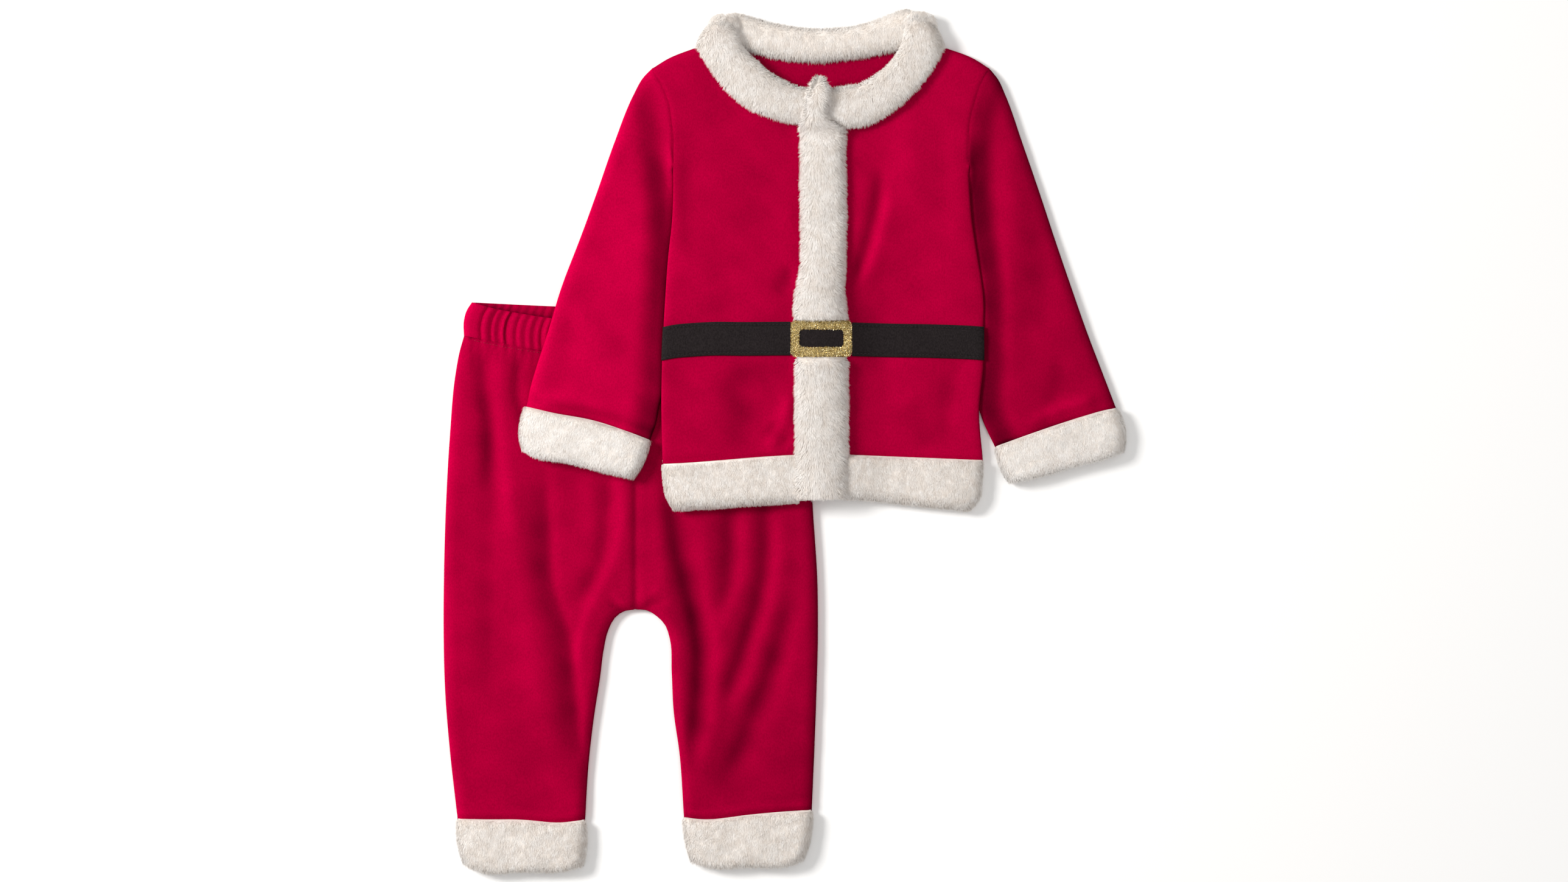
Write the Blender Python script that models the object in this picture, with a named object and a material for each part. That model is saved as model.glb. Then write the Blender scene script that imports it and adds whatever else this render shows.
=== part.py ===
"""An infant's Santa suit of red velour with fur trims, laid flat, front up, the jacket on the trousers.

Sizes are millimetres until the meshes are written, in metres. X runs across the suit, Y from the trouser
cuffs to the collar and Z up from the surface that it lies on. A flattened tube of cloth is two walls, the
front above the back, that bend towards each other at rims along its sides.
"""

import bpy
import numpy as np

MM = 0.001

# Cloth
VELOUR = 2.2  # wall of velour
SEAM = 0.3  # space between two pieces that are sewn together
LAY_GAP = 0.1  # and a little more between a piece and the curved cloth that it lies on
LAID = 8.0  # height of the flattened jacket
TROUSERS_LAID = 8.6  # height of the flattened trousers
BAND_WALL = 2.8  # wall of the waistband, velour folded over elastic
BAND_LAID = 8.4  # height of the flattened waistband
BELT_WALL = 1.6
BUCKLE_WALL = 2.4
FUR_LAID = 13.0  # height of two walls of fur
FUR_FRONT = 5.6  # wall of a fur cuff above its hollow
FUR_BACK = 4.0  # and below it
FUR_SIDE = 4.5
HEM_FRONT = 6.5  # fur along the bottom edge, in front
HEM_BACK = 5.4
COLLAR_WALL = 7.0
COLLAR_LAID = 15.0
STRIP_PILE = 6.2  # fur band down the closing

# Rims: height of the seam that joins front and back, and how far in from it each wall is level again
SIDE_SEAM = 6.4
SHOULDER_SEAM = 4.5
SLEEVE_FOLD = 4.0
UNDERARM_FOLD = 2.7
LEG_SEAM = 4.3
CUFF_FOLD = 5.8
HEM_SEAM = 6.1
COLLAR_FOLD = 7.5
FRONT_REACH = 7.0
BACK_REACH = 10.0
LEG_REACH = 9.0
FUR_REACH = 8.0

# Widths across which the columns of a grid are spaced
CUFF_WIDTH = 94.0
LEG_WIDTH = 118.0
HEM_BACK_WIDTH = 236.0
COLLAR_FRONT_LENGTH = 280.0
COLLAR_BACK_LENGTH = 180.0

# How the jacket rises over the trousers that it lies on
RISE = 9.4
RISE_TOP = (107.0, 165.0)  # Y: whole rise below the first, none above the second
RISE_SIDE = (22.0, 80.0)  # X: whole rise left of the first, none right of the second

# Places
BODY_CENTRE = 29.4  # X where the two fronts meet
STRIP_LEFT, STRIP_RIGHT = 11.0, 47.9  # X of the fur band's edges
BUCKLE = dict(left=5.2, right=50.2, low=62.1, high=88.6)
WINDOW = dict(left=11.2, right=44.4, low=68.8, high=82.3)
BUCKLE_CORNER = 2.0
TROUSER_CENTRE = -109.8  # X of the centre front seam
LEVEL_ROWS_END = 150.0  # Y above which the rows of a front bend towards the neckline


def table(names, *rows):
    """A short table as named columns."""
    return dict(zip(names.split(), np.array(rows, float).T))


BODY_SIDES = table(
    "y left right",
    (-14.0, -89.3, 147.4),
    (23.0, -90.2, 144.7),
    (55.8, -89.8, 147.8),
    (78.3, -88.9, 147.8),
    (109.8, -87.1, 147.4),
    (136.8, -85.3, 143.3),
    (163.8, -82.6, 139.3),
    (190.8, -81.8, 137.3),
    (213.3, -82.4, 137.0),
    (236.3, -83.2, 138.4),
    (250.7, -85.5, 142.0),
    (263.3, -90.7, 146.0),
    (275.4, -97.9, 152.8),
)
SHOULDERS = table(  # from each tip to the neck
    "left_x left_y right_x right_y",
    (-97.9, 275.4, 152.8, 275.4),
    (-85.7, 283.0, 140.5, 283.2),
    (-64.5, 291.4, 118.8, 291.4),
)
NECK_FRONT = table(  # where the collar is sewn to the fronts
    "x y",
    (-64.0, 291.3),
    (-52.9, 274.0),
    (-41.2, 258.6),
    (-21.4, 243.9),
    (-3.8, 237.6),
    (8.8, 235.2),
    (28.1, 233.6),
    (48.8, 232.0),
    (59.2, 233.4),
    (73.6, 239.9),
    (93.4, 255.6),
    (106.4, 270.8),
    (118.3, 291.3),
)
NECK_BACK = table(  # and to the back
    "x y",
    (-64.0, 291.3),
    (-47.0, 292.0),
    (-29.9, 289.8),
    (-3.8, 281.6),
    (25.9, 279.0),
    (44.8, 280.2),
    (66.4, 283.8),
    (84.4, 288.5),
    (101.0, 291.5),
    (118.3, 291.3),
)
FREE_FRONT = table(  # the collar's free edge in front
    "x y",
    (-45.2, 313.2),
    (-37.1, 306.4),
    (-31.3, 293.0),
    (-22.7, 284.0),
    (-9.7, 272.7),
    (1.6, 266.4),
    (13.3, 262.3),
    (29.0, 260.9),
    (44.8, 261.9),
    (56.0, 264.2),
    (67.7, 269.8),
    (80.8, 281.3),
    (87.6, 293.0),
    (91.0, 306.4),
    (99.2, 316.0),
)
FREE_BACK = table(  # and behind
    "x y",
    (-45.2, 313.2),
    (-38.5, 316.2),
    (-27.2, 314.6),
    (-12.8, 310.2),
    (7.4, 306.5),
    (27.7, 305.1),
    (50.6, 306.9),
    (70.4, 312.3),
    (84.8, 317.7),
    (93.4, 318.9),
    (99.2, 316.0),
)
SLEEVES = table(  # outer edges, from the shoulder's tip to the cuff
    "left_x left_y right_x right_y",
    (-98.2, 275.4, 153.1, 275.4),
    (-104.5, 268.5, 159.0, 267.5),
    (-111.4, 256.0, 164.3, 256.0),
    (-125.8, 220.0, 177.1, 220.0),
    (-138.4, 184.0, 189.5, 184.0),
    (-151.4, 148.0, 201.4, 148.0),
    (-164.5, 112.0, 213.7, 112.0),
    (-174.8, 78.0, 226.4, 76.0),
    (-182.4, 55.0, 233.3, 58.0),
    (-186.8, 40.0, 240.2, 40.0),
    (-189.6, 26.2, 245.8, 25.4),
)
SLEEVE_ENDS = table(  # inner edges, from where they leave the body to the cuff
    "left_x left_y right_x right_y",
    (-92.0, 25.0, 146.8, 17.0),
    (-94.2, 13.0, 151.2, 6.6),
    (-98.4, 1.2, 156.2, -3.6),
)
CUFFS = table(  # along the seam and along the open edge, from the outer side to the inner
    "left_x left_y left_open_x left_open_y right_x right_y right_open_x right_open_y",
    (-190.2, 25.8, -193.0, -5.6, 246.2, 25.0, 251.6, -7.6),
    (-170.8, 21.2, -184.6, -10.6, 234.2, 22.2, 239.0, -12.4),
    (-140.2, 15.4, -160.0, -15.2, 205.4, 13.4, 215.0, -18.6),
    (-114.0, 6.9, -136.0, -21.4, 179.3, 4.4, 191.0, -25.6),
    (-98.2, 0.9, -110.5, -27.4, 156.4, -3.9, 167.0, -30.8),
)
CUFF_BULGE = dict(left=(3.0, 1.8), right=(3.6, 2.2))  # of the outer and inner side, past a straight line
LEGS_OUTSIDE = table(  # from the waistband to the cuffs
    "left_x left_y right_x right_y",
    (-236.9, 77.4, 8.8, 77.4),
    (-240.1, 66.0, 12.0, 66.0),
    (-243.2, 49.0, 15.0, 49.0),
    (-247.3, 4.0, 18.8, 4.0),
    (-250.4, -52.0, 21.6, -50.0),
    (-251.8, -105.0, 25.0, -105.0),
    (-252.0, -140.0, 25.4, -140.0),
    (-250.6, -190.0, 24.2, -190.0),
    (-247.3, -230.0, 22.7, -230.0),
    (-241.8, -278.8, 20.9, -272.4),
)
LEGS_INSIDE = table(  # from the crotch to the cuffs
    "left_x left_y right_x right_y",
    (-109.95, -125.1, -109.65, -125.1),
    (-118.6, -126.5, -101.0, -125.8),
    (-124.4, -130.5, -94.7, -129.6),
    (-129.8, -140.0, -88.0, -136.4),
    (-133.2, -154.0, -84.6, -146.0),
    (-136.1, -176.0, -83.0, -172.0),
    (-140.3, -203.0, -81.6, -200.0),
    (-144.6, -240.0, -77.2, -232.0),
    (-147.0, -279.6, -74.0, -277.8),
)
WAIST_SEAM = table(  # bottom of the waistband: distance from the side as a share of the width
    "share front back",
    (0.0, 77.4, 77.4),
    (0.12, 71.0, 77.0),
    (0.25, 66.0, 76.0),
    (0.5, 62.5, 75.0),
    (0.75, 66.0, 76.0),
    (0.88, 71.0, 77.0),
    (1.0, 77.4, 77.4),
)
WAIST_EDGE = table(  # its top edge
    "share front back",
    (0.0, 102.4, 102.6),
    (0.07, 97.8, 101.8),
    (0.14, 94.6, 101.0),
    (0.25, 90.6, 99.8),
    (0.5, 87.0, 98.6),
    (0.75, 90.6, 99.8),
    (0.86, 94.6, 101.0),
    (0.93, 97.8, 101.8),
    (1.0, 102.4, 102.6),
)
LEG_CUFFS = table(  # along the seam and along the open edge, from the left side to the right
    "left_x left_y left_open_x left_open_y right_x right_y right_open_x right_open_y",
    (-241.7, -279.2, -237.0, -312.4, -74.4, -278.4, -68.6, -310.6),
    (-221.0, -279.8, -222.0, -318.6, -60.0, -279.7, -55.0, -314.6),
    (-194.2, -279.9, -194.0, -317.8, -27.0, -276.4, -27.0, -314.4),
    (-165.0, -282.0, -165.0, -317.6, 3.0, -273.8, 2.0, -313.6),
    (-147.0, -280.0, -148.4, -313.6, 20.8, -272.8, 14.6, -309.8),
)
LEG_CUFF_BULGE = dict(left=(2.0, 1.6), right=(1.4, 2.4))
COLLAR_BULGE = 3.6  # how far the collar's turned sides swell past a straight line
HEM_EDGE = table(  # free edge of the fur hem, from the left side seam to the right
    "x y",
    (-89.5, -14.3),
    (-88.9, -27.0),
    (-86.6, -41.0),
    (-82.0, -49.4),
    (-66.0, -49.8),
    (-30.0, -47.4),
    (10.0, -44.8),
    (29.0, -43.0),
    (51.0, -42.8),
    (90.0, -46.6),
    (123.0, -50.0),
    (139.0, -50.4),
    (145.0, -43.0),
    (147.0, -30.0),
    (147.6, -14.3),
)
HEM_CORNERS = (-82.0, 139.0)  # X of its corners
HEM_SEAM_Y = (-14.0, -9.0)  # where the hem is sewn on, at the sides and at the centre
UNDERLAP_END = table(  # the tip of the fur band that lies over the collar
    "y left right extra",
    (231.0, 11.6, 47.3, 0.3),
    (233.2, 13.0, 40.0, 3.9),
    (235.6, 14.5, 32.5, 6.6),
    (240.0, 16.0, 31.5, 7.2),
    (246.0, 17.2, 33.5, 7.4),
    (254.0, 18.6, 35.0, 7.4),
    (261.0, 20.0, 34.6, 7.4),
    (266.0, 22.5, 32.5, 7.4),
    (268.6, 25.5, 29.5, 7.4),
)
STRIP_COLUMNS = (0, 0.05, 0.16, 0.36, 0.64, 0.84, 0.95, 1)  # shares of the fur band's width
FRONT_ROWS = table(  # heights of a front's level rows at the side and at the centre
    "side centre",
    (-14.0, -9.0),
    (8.0, 12.0),
    (33.0, 37.0),
    (59.4, 62.4),
    (84.2, 87.2),
    (106.0, 107.0),
    (120.0, 120.0),
    (135.0, 135.0),
    (150.0, 150.0),
)
BELT_ROWS = (3, 4)  # rows of that table along the belt's lower and upper edge
SIDE_COLUMNS = (0.0, 0.8, 2.2, 4.5, 8.5)  # a front's columns by the side seam, as distances from it
SHOULDER_COLUMNS = (0.0, 0.03, 0.08, 0.16, 0.3, 0.5, 0.75, 1.0)  # shares of the shoulder seam
NECK_COLUMNS = (0.1, 0.21, 0.33, 0.46, 0.62, 0.8, 1.0)  # shares of the neckline up to the centre
BACK_SIDE_COLUMNS = (0.0, 2.2, 6.0, 11.0)  # the back's columns, named the same way
BACK_SHOULDER_COLUMNS = (0, 0.16, 0.5, 1)
BACK_NECK_COLUMNS = (0.25, 0.5, 0.75, 1)
FRONT_COLUMNS = len(SHOULDER_COLUMNS) + len(NECK_COLUMNS)
UPPER_ROWS = (0.12, 0.27, 0.4, 0.56, 0.7, 0.82, 0.91, 0.965, 0.988, 1.0)  # shares of the way to the neckline
UNDERARM_ROW = 2  # the one of those where sleeve and body part

JACKET_FOLDS = table(  # soft troughs (negative) and ridges, as the ends, the depth and the half width
    "x1 y1 x2 y2 depth width",
    (49.0, 112.0, 74.0, 168.0, -1.3, 7.0),
    (-4.0, 108.0, 9.0, 128.0, -1.0, 7.0),
    (-24.0, 26.0, 6.0, -4.0, -1.5, 8.0),
    (-70.0, 150.0, -52.0, 100.0, 0.8, 10.0),
    (96.0, 30.0, 112.0, -6.0, -0.8, 9.0),
    (-172.0, 24.5, -112.0, 13.5, -1.2, 6.0),
    (196.0, 18.0, 230.0, 30.0, 1.2, 7.0),
    (-150.0, 120.0, -118.0, 60.0, -0.8, 10.0),
)
TROUSER_FOLDS = table(
    "x1 y1 x2 y2 depth width",
    (-117.5, -64.0, -120.4, -97.0, 1.5, 8.0),
    (-120.4, -97.0, -141.0, -162.0, 1.3, 8.0),
    (-82.0, -48.0, -77.6, -88.0, -1.6, 8.0),
    (-77.6, -88.0, -68.0, -150.0, -2.2, 8.0),
    (-158.6, -151.0, -163.0, -205.0, -1.5, 8.0),
    (-163.0, -205.0, -149.6, -252.0, -1.2, 7.0),
    (-56.5, -80.0, -69.0, -228.0, -1.6, 8.0),
    (-13.7, -80.0, -42.0, -202.0, -2.0, 9.0),
    (-19.6, -192.0, -54.7, -258.0, -1.7, 8.0),
    (-199.0, 58.0, -197.0, 36.0, -0.9, 5.0),
    (-172.0, 50.0, -168.0, 28.0, -0.8, 5.0),
)
BUCKLE_PROFILE = table(  # from its outer edge to its window, as shares of the frame's width and wall
    "inward height",
    (0.0, 0.7),
    (0.14, 1.0),
    (0.86, 1.0),
    (1.0, 0.7),
)
CENTRE_SEAM_DIP = dict(depth=1.2, width=3.0)
SLEEVE_COLUMNS = (257.0, 240.0, 216.0, 209.0, 204.5, 202.0, 200.7)  # Y at the armhole
SLEEVE_TROUGH = dict(depth=2.8, width=24.0, starts=0.15)  # beside the body, where a sleeve tucks against it
GATHERS = 30  # across each side of the waistband
GATHER_DEPTH = 1.0
GATHERS_START = 0.017  # share of the width by the sides where the gathers fade out
BAND_SIDES = table(  # the waistband's sides, from its top edge down
    "left right y",
    (-228.6, 4.4, 102.5),
    (-233.6, 7.0, 90.0),
    (-236.9, 8.8, 77.85),
)


def smooth(at, keys, values):
    """Cubic curve through values at rising keys, with each slope taken from the two neighbours."""
    slope = np.gradient(values, keys)
    k = np.clip(np.searchsorted(keys, at) - 1, 0, len(keys) - 2)
    step = keys[k + 1] - keys[k]
    t = np.clip((at - keys[k]) / step, 0, 1)
    ends = (1 + 2 * t) * (1 - t) ** 2 * values[k] + t * t * (3 - 2 * t) * values[k + 1]
    return ends + step * (t * (1 - t) ** 2 * slope[k] + t * t * (t - 1) * slope[k + 1])


def curve(x, y):
    """A smooth path through the points, as a function of the share of its length."""
    chord = np.r_[0, np.cumsum(np.hypot(np.diff(x), np.diff(y)))]
    fine = np.linspace(0, chord[-1], 300)
    fine_x, fine_y = smooth(fine, chord, x), smooth(fine, chord, y)
    length = np.r_[0, np.cumsum(np.hypot(np.diff(fine_x), np.diff(fine_y)))]
    share = length / length[-1]
    return lambda s: np.stack([np.interp(s, share, fine_x), np.interp(s, share, fine_y)], -1)


def part_of(path, first, last):
    """The stretch of a path between two shares of its length, either way round."""
    return lambda s: path(first + (last - first) * np.asarray(s, float))


def share_at(path, column, value):
    """The share of a path's length at which its x (column 0) or y (column 1) passes a value."""
    shares = np.linspace(0, 1, 2000)
    places = path(shares)[:, column]
    return shares[np.abs(places - value).argmin()]


def ramp(t):
    """0 to 1 with level ends."""
    t = np.clip(t, 0, 1)
    return t * t * (3 - 2 * t)


def roll(t):
    """A quarter of an ellipse: steep at 0, level from 1 on."""
    return np.sqrt(np.clip(1 - (1 - np.clip(t, 0, 1)) ** 2, 0, 1))


def rise(x, y):
    """How high the jacket's underside lies: on the trousers, on the surface, or on its way down."""
    down_top = ramp((y - RISE_TOP[0]) / (RISE_TOP[1] - RISE_TOP[0]))
    down_side = ramp((x - RISE_SIDE[0]) / (RISE_SIDE[1] - RISE_SIDE[0]))
    return RISE * (1 - down_top) * (1 - down_side)


def folds(which, x, y):
    """Height that the soft folds of a table add to an upper wall."""
    total = np.zeros(np.shape(x))
    for x1, y1, x2, y2, depth, width in zip(*which.values()):
        length = np.hypot(x2 - x1, y2 - y1)
        along = ((x - x1) * (x2 - x1) + (y - y1) * (y2 - y1)) / length
        across = ((x - x1) * (y2 - y1) - (y - y1) * (x2 - x1)) / length
        past = np.maximum(np.maximum(-along, along - length), 0)
        fade = 1 - 0.5 * np.clip(2 * np.abs(along / length - 0.5), 0, 1) ** 2
        total = total + depth * fade * np.exp(-(across / width) ** 2 - (past / width) ** 2)
    return total


def near(points, route):
    """Distance from each point to a route, and the direction away from it, into the cloth on its left."""
    start, step = route[:-1], np.diff(route, axis=0)
    along = ((points[..., None, :] - start) * step).sum(-1) / (step**2).sum(-1)
    nearest = start + np.clip(along, 0, 1)[..., None] * step
    gap = np.linalg.norm(points[..., None, :] - nearest, axis=-1)
    best = gap.argmin(-1)[..., None]
    distance = np.take_along_axis(gap, best, -1)[..., 0]
    left = np.stack([-step[:, 1], step[:, 0]], -1)
    left = (left / np.linalg.norm(left, axis=-1, keepdims=True))[best[..., 0]]
    foot = np.take_along_axis(nearest, best[..., None], -2)[..., 0, :]
    away = (points - foot) / np.maximum(distance, 1e-9)[..., None]
    return distance, np.where((distance > SEAM)[..., None], away, left)


def rim(path, edge, reach, inset):
    """A rolled side: its route, the height of its seam, its reach and how far in the inner face begins."""
    return dict(route=path(np.linspace(0, 1, 120)), edge=edge, reach=reach, inset=inset)


def wall_points(plan, rims, outside, inside, lifted=True, butt_rows=(0,)):
    """Outer and inner points of a wall over a plan grid, from the levels of its faces away from any rim.

    butt_rows are the rows that meet another piece, where the inner face ends below the outer one.
    """
    outer_z = np.broadcast_to(outside, plan.shape[:-1]).copy()
    inner_z = np.broadcast_to(inside, plan.shape[:-1]).copy()
    shift = np.zeros(plan.shape)
    for side in rims:
        distance, away = near(plan, side["route"])
        outer_z += (side["edge"] - outside) * (1 - roll(distance / side["reach"]))
        inner_z += (side["edge"] - inside) * (1 - roll(distance / side["reach"] / 1.2))
        fading = np.clip(1 - distance / (side["reach"] + 2 * side["inset"]), 0, 1)
        shift += away * (side["inset"] * fading)[..., None]
    for row in butt_rows:
        tangent = np.gradient(plan[row], axis=0)
        tangent /= np.linalg.norm(tangent, axis=-1, keepdims=True)
        shift[row] = (shift[row] * tangent).sum(-1, keepdims=True) * tangent
    inner = plan + shift
    if lifted:
        outer_z += rise(plan[..., 0], plan[..., 1])
        inner_z += rise(plan[..., 0], plan[..., 1])
    return np.concatenate([plan, outer_z[..., None]], -1), np.concatenate([inner, inner_z[..., None]], -1)


def patch(start, end, side_a, side_b, u=None, v=None):
    """Plan grid between four rows of points: start and end run from side a to side b."""
    u = np.linspace(0, 1, len(start)) if u is None else np.asarray(u)
    v = np.linspace(0, 1, len(side_a)) if v is None else np.asarray(v)
    u, v = u[None, :, None], v[:, None, None]
    ends = (1 - v) * start[None] + v * end[None]
    sides = (1 - u) * side_a[:, None] + u * side_b[:, None]
    corners = (1 - v) * ((1 - u) * start[0] + u * start[-1]) + v * ((1 - u) * end[0] + u * end[-1])
    return ends + sides - corners


def between(paths, u, v):
    """Plan grid between four paths (start, end, side a, side b) at shares across and along."""
    start, end, side_a, side_b = paths
    u, v = np.asarray(u), np.asarray(v)
    return patch(start(u), end(u), side_a(v), side_b(v), u, v)


def rimmed(width, steps, level):
    """Shares of a width: at the steps given from both sides, and evenly spaced between them."""
    near_side = np.array(steps) / width
    middle = np.linspace(near_side[-1], 1 - near_side[-1], level + 1)[1:-1]
    return np.concatenate([near_side, middle, 1 - near_side[::-1]])


def line(first, last):
    """A straight path."""
    first, last = np.array(first, float), np.array(last, float)
    return lambda s: first + (last - first) * np.asarray(s, float)[..., None]


def bulging(first, last, bulge):
    """A path between two points that swells to its right by the bulge."""
    first, last = np.array(first, float), np.array(last, float)
    step = last - first
    right = np.array([step[1], -step[0]]) / np.hypot(*step)

    def at(s):
        s = np.asarray(s, float)[..., None]
        return first + step * s + right * bulge * 4 * s * (1 - s)

    return at


def joined(*paths):
    """Several paths end to end, as one function of the share of the whole length."""
    points = np.concatenate([path(np.linspace(0, 1, 300)) for path in paths])
    length = np.r_[0, np.cumsum(np.hypot(*np.diff(points, axis=0).T))]
    share = length / length[-1]
    return lambda s: np.stack([np.interp(s, share, points[:, 0]), np.interp(s, share, points[:, 1])], -1)


def reverse(path):
    """The same path the other way."""
    return lambda s: path(1 - np.asarray(s, float))


def beside(path, distance):
    """A path moved to its left."""

    def at(s):
        s = np.asarray(s, float)
        step = path(np.clip(s + 0.01, 0, 1)) - path(np.clip(s - 0.01, 0, 1))
        left = np.stack([-step[..., 1], step[..., 0]], -1) / np.linalg.norm(step, axis=-1, keepdims=True)
        return path(s) + distance * left

    return at


def material(name, colour, roughness, metallic=0.0):
    """A plain material with the piece's colour."""
    made = bpy.data.materials.new(name)
    made.use_nodes = True
    shader = made.node_tree.nodes["Principled BSDF"]
    shader.inputs["Base Color"].default_value = (*colour, 1.0)
    shader.inputs["Roughness"].default_value = roughness
    shader.inputs["Metallic"].default_value = metallic
    return made


def faces_of(rows, columns, wrap, first, flip):
    """Two triangles for each cell of a grid of points, numbered from first."""
    joined = columns if wrap else columns - 1
    row, column = np.meshgrid(np.arange(rows - 1), np.arange(joined), indexing="ij")
    corner = row * columns + column
    beside = row * columns + (column + 1) % columns
    cells = np.stack([corner, beside, beside + columns, corner, beside + columns, corner + columns], -1)
    cells = cells.reshape(-1, 3) + first
    return cells[:, ::-1] if flip else cells


def strip_between(edge_a, edge_b):
    """Triangles between two rows of point numbers."""
    a, b, c, d = edge_a[:-1], edge_a[1:], edge_b[:-1], edge_b[1:]
    return np.concatenate([np.stack([a, b, d], -1), np.stack([a, d, c], -1)])


def solid(name, outer, inner, finish, wrap=False):
    """A closed wall between two grids of points. wrap joins the last column to the first."""
    rows, columns = outer.shape[:2]
    count = rows * columns
    points = np.concatenate([outer.reshape(-1, 3), inner.reshape(-1, 3)])
    grid = np.arange(count).reshape(rows, columns)
    if wrap:
        grid = np.concatenate([grid, grid[:, :1]], 1)
    borders = [grid[0], grid[-1][::-1]]
    if not wrap:
        borders += [grid[::-1, 0], grid[:, -1]]
    faces = [faces_of(rows, columns, wrap, 0, False), faces_of(rows, columns, wrap, count, True)]
    faces += [strip_between(border + count, border) for border in borders]
    faces = np.concatenate(faces)
    a, b, c = points[faces[:, 0]], points[faces[:, 1]], points[faces[:, 2]]
    if np.einsum("ij,ij->", a, np.cross(b, c)) < 0:
        faces = faces[:, ::-1]
    mesh = bpy.data.meshes.new(name)
    mesh.from_pydata((points * MM).tolist(), [], faces.tolist())
    mesh.materials.append(finish)
    mesh.shade_smooth()
    made = bpy.data.objects.new(name, mesh)
    bpy.context.scene.collection.objects.link(made)
    return made


def tube(name, plan_front, plan_back, rims, levels, finish, trim=None, lifted=True):
    """A flattened tube in one piece: its front wall, then its back wall the other way, joined at both rims.

    levels holds the outer and inner level of the front and of the back. trim(front) changes the points of
    one wall once they are made.
    """
    walls = []
    for plan, (outside, inside), front in ((plan_front, levels[0], True), (plan_back, levels[1], False)):
        outer, inner = wall_points(plan, rims, outside, inside, lifted, butt_rows=(0, -1))
        if trim:
            outer, inner = trim(outer, inner, front)
        walls.append((outer, inner))
    back = [face[:, ::-1][:, 1:-1] for face in walls[1]]
    outer = np.concatenate([walls[0][0], back[0]], 1)
    inner = np.concatenate([walls[0][1], back[1]], 1)
    return solid(name, outer, inner, finish, wrap=True)


def body_side(side):
    """The body's left or right edge: X for a height Y."""
    return lambda y: smooth(np.asarray(y, float), BODY_SIDES["y"], BODY_SIDES[side])


def shoulder(side):
    """The shoulder seam from its tip to the neck."""
    return curve(SHOULDERS[side + "_x"], SHOULDERS[side + "_y"])


def neck_to_centre(side, which):
    """A neckline from the neck point of one side to the centre."""
    path = curve(which["x"], which["y"])
    middle = share_at(path, 0, BODY_CENTRE)
    return part_of(path, 0, middle) if side == "left" else part_of(path, 1, middle)


def edge_heights():
    """Y of every row of a front at its side edge."""
    tip = SHOULDERS["left_y"][0]
    upper = LEVEL_ROWS_END + np.array(UPPER_ROWS) * (tip - LEVEL_ROWS_END)
    return np.concatenate([FRONT_ROWS["side"], upper])


def underarm():
    """Y where sleeve and body part."""
    return edge_heights()[len(FRONT_ROWS["side"]) + UNDERARM_ROW]


def front_plan(side):
    """Plan grid of a front: rows from the hem up, columns from the side seam to the centre."""
    inward = 1 if side == "left" else -1
    edge = body_side(side)
    centre = BODY_CENTRE - inward * SEAM / 2
    rows = []
    for side_y, centre_y in zip(*FRONT_ROWS.values()):
        start = edge(side_y)
        rest = np.linspace(start + inward * SIDE_COLUMNS[-1], centre, FRONT_COLUMNS - len(SIDE_COLUMNS) + 1)
        x = np.concatenate([start + inward * np.array(SIDE_COLUMNS), rest[1:]])
        rows.append(np.stack([x, side_y + (centre_y - side_y) * (x - start) / (centre - start)], -1))
    top = np.concatenate([shoulder(side)(SHOULDER_COLUMNS), neck_to_centre(side, NECK_FRONT)(NECK_COLUMNS)])
    top[-1, 0] = centre
    shares = np.r_[0, UPPER_ROWS]
    heights = LEVEL_ROWS_END + shares * (top[0, 1] - LEVEL_ROWS_END)
    centre_heights = LEVEL_ROWS_END + shares * (top[-1, 1] - LEVEL_ROWS_END)
    side_a = np.stack([edge(heights), heights], -1)
    side_b = np.stack([np.full(len(shares), centre), centre_heights], -1)
    u = (rows[-1][:, 0] - rows[-1][0, 0]) / (centre - rows[-1][0, 0])
    upper = patch(rows[-1], top, side_a, side_b, u, shares)
    return np.concatenate([np.array(rows), upper[1:]])


def side_route(side):
    """The rolled side seam below the arm, with the cloth on its left."""
    heights = np.linspace(underarm(), BODY_SIDES["y"][0], 100)
    down = curve(body_side(side)(heights), heights)
    return down if side == "left" else reverse(down)


def shoulder_route(side):
    """The shoulder seam with the cloth on its left."""
    return reverse(shoulder(side)) if side == "left" else shoulder(side)


def body_rims(side, reach, gap):
    """Rims of one side of the body, for walls that keep a gap above (positive) or below the seams."""
    return [
        rim(side_route(side), SIDE_SEAM + gap, reach, VELOUR),
        rim(shoulder_route(side), SHOULDER_SEAM + gap, FRONT_REACH, VELOUR),
    ]


def front_level(plan):
    """Level of the jacket's upper face, with its folds, which stop short of the stiff fur band."""
    x, y = plan[..., 0], plan[..., 1]
    half = (STRIP_RIGHT - STRIP_LEFT) / 2
    free = ramp((np.abs(x - BODY_CENTRE) - half) / 8)
    return LAID + free * folds(JACKET_FOLDS, x, y)


def make_front(side, finish):
    """One front, from the side seam to the centre and from the hem to shoulder and neck."""
    plan = front_plan(side)
    level = front_level(plan)
    outer, inner = wall_points(plan, body_rims(side, FRONT_REACH, SEAM / 2), level, level - VELOUR)
    solid(f"jacket_front_{side}", outer, inner, finish)
    return outer


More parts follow.
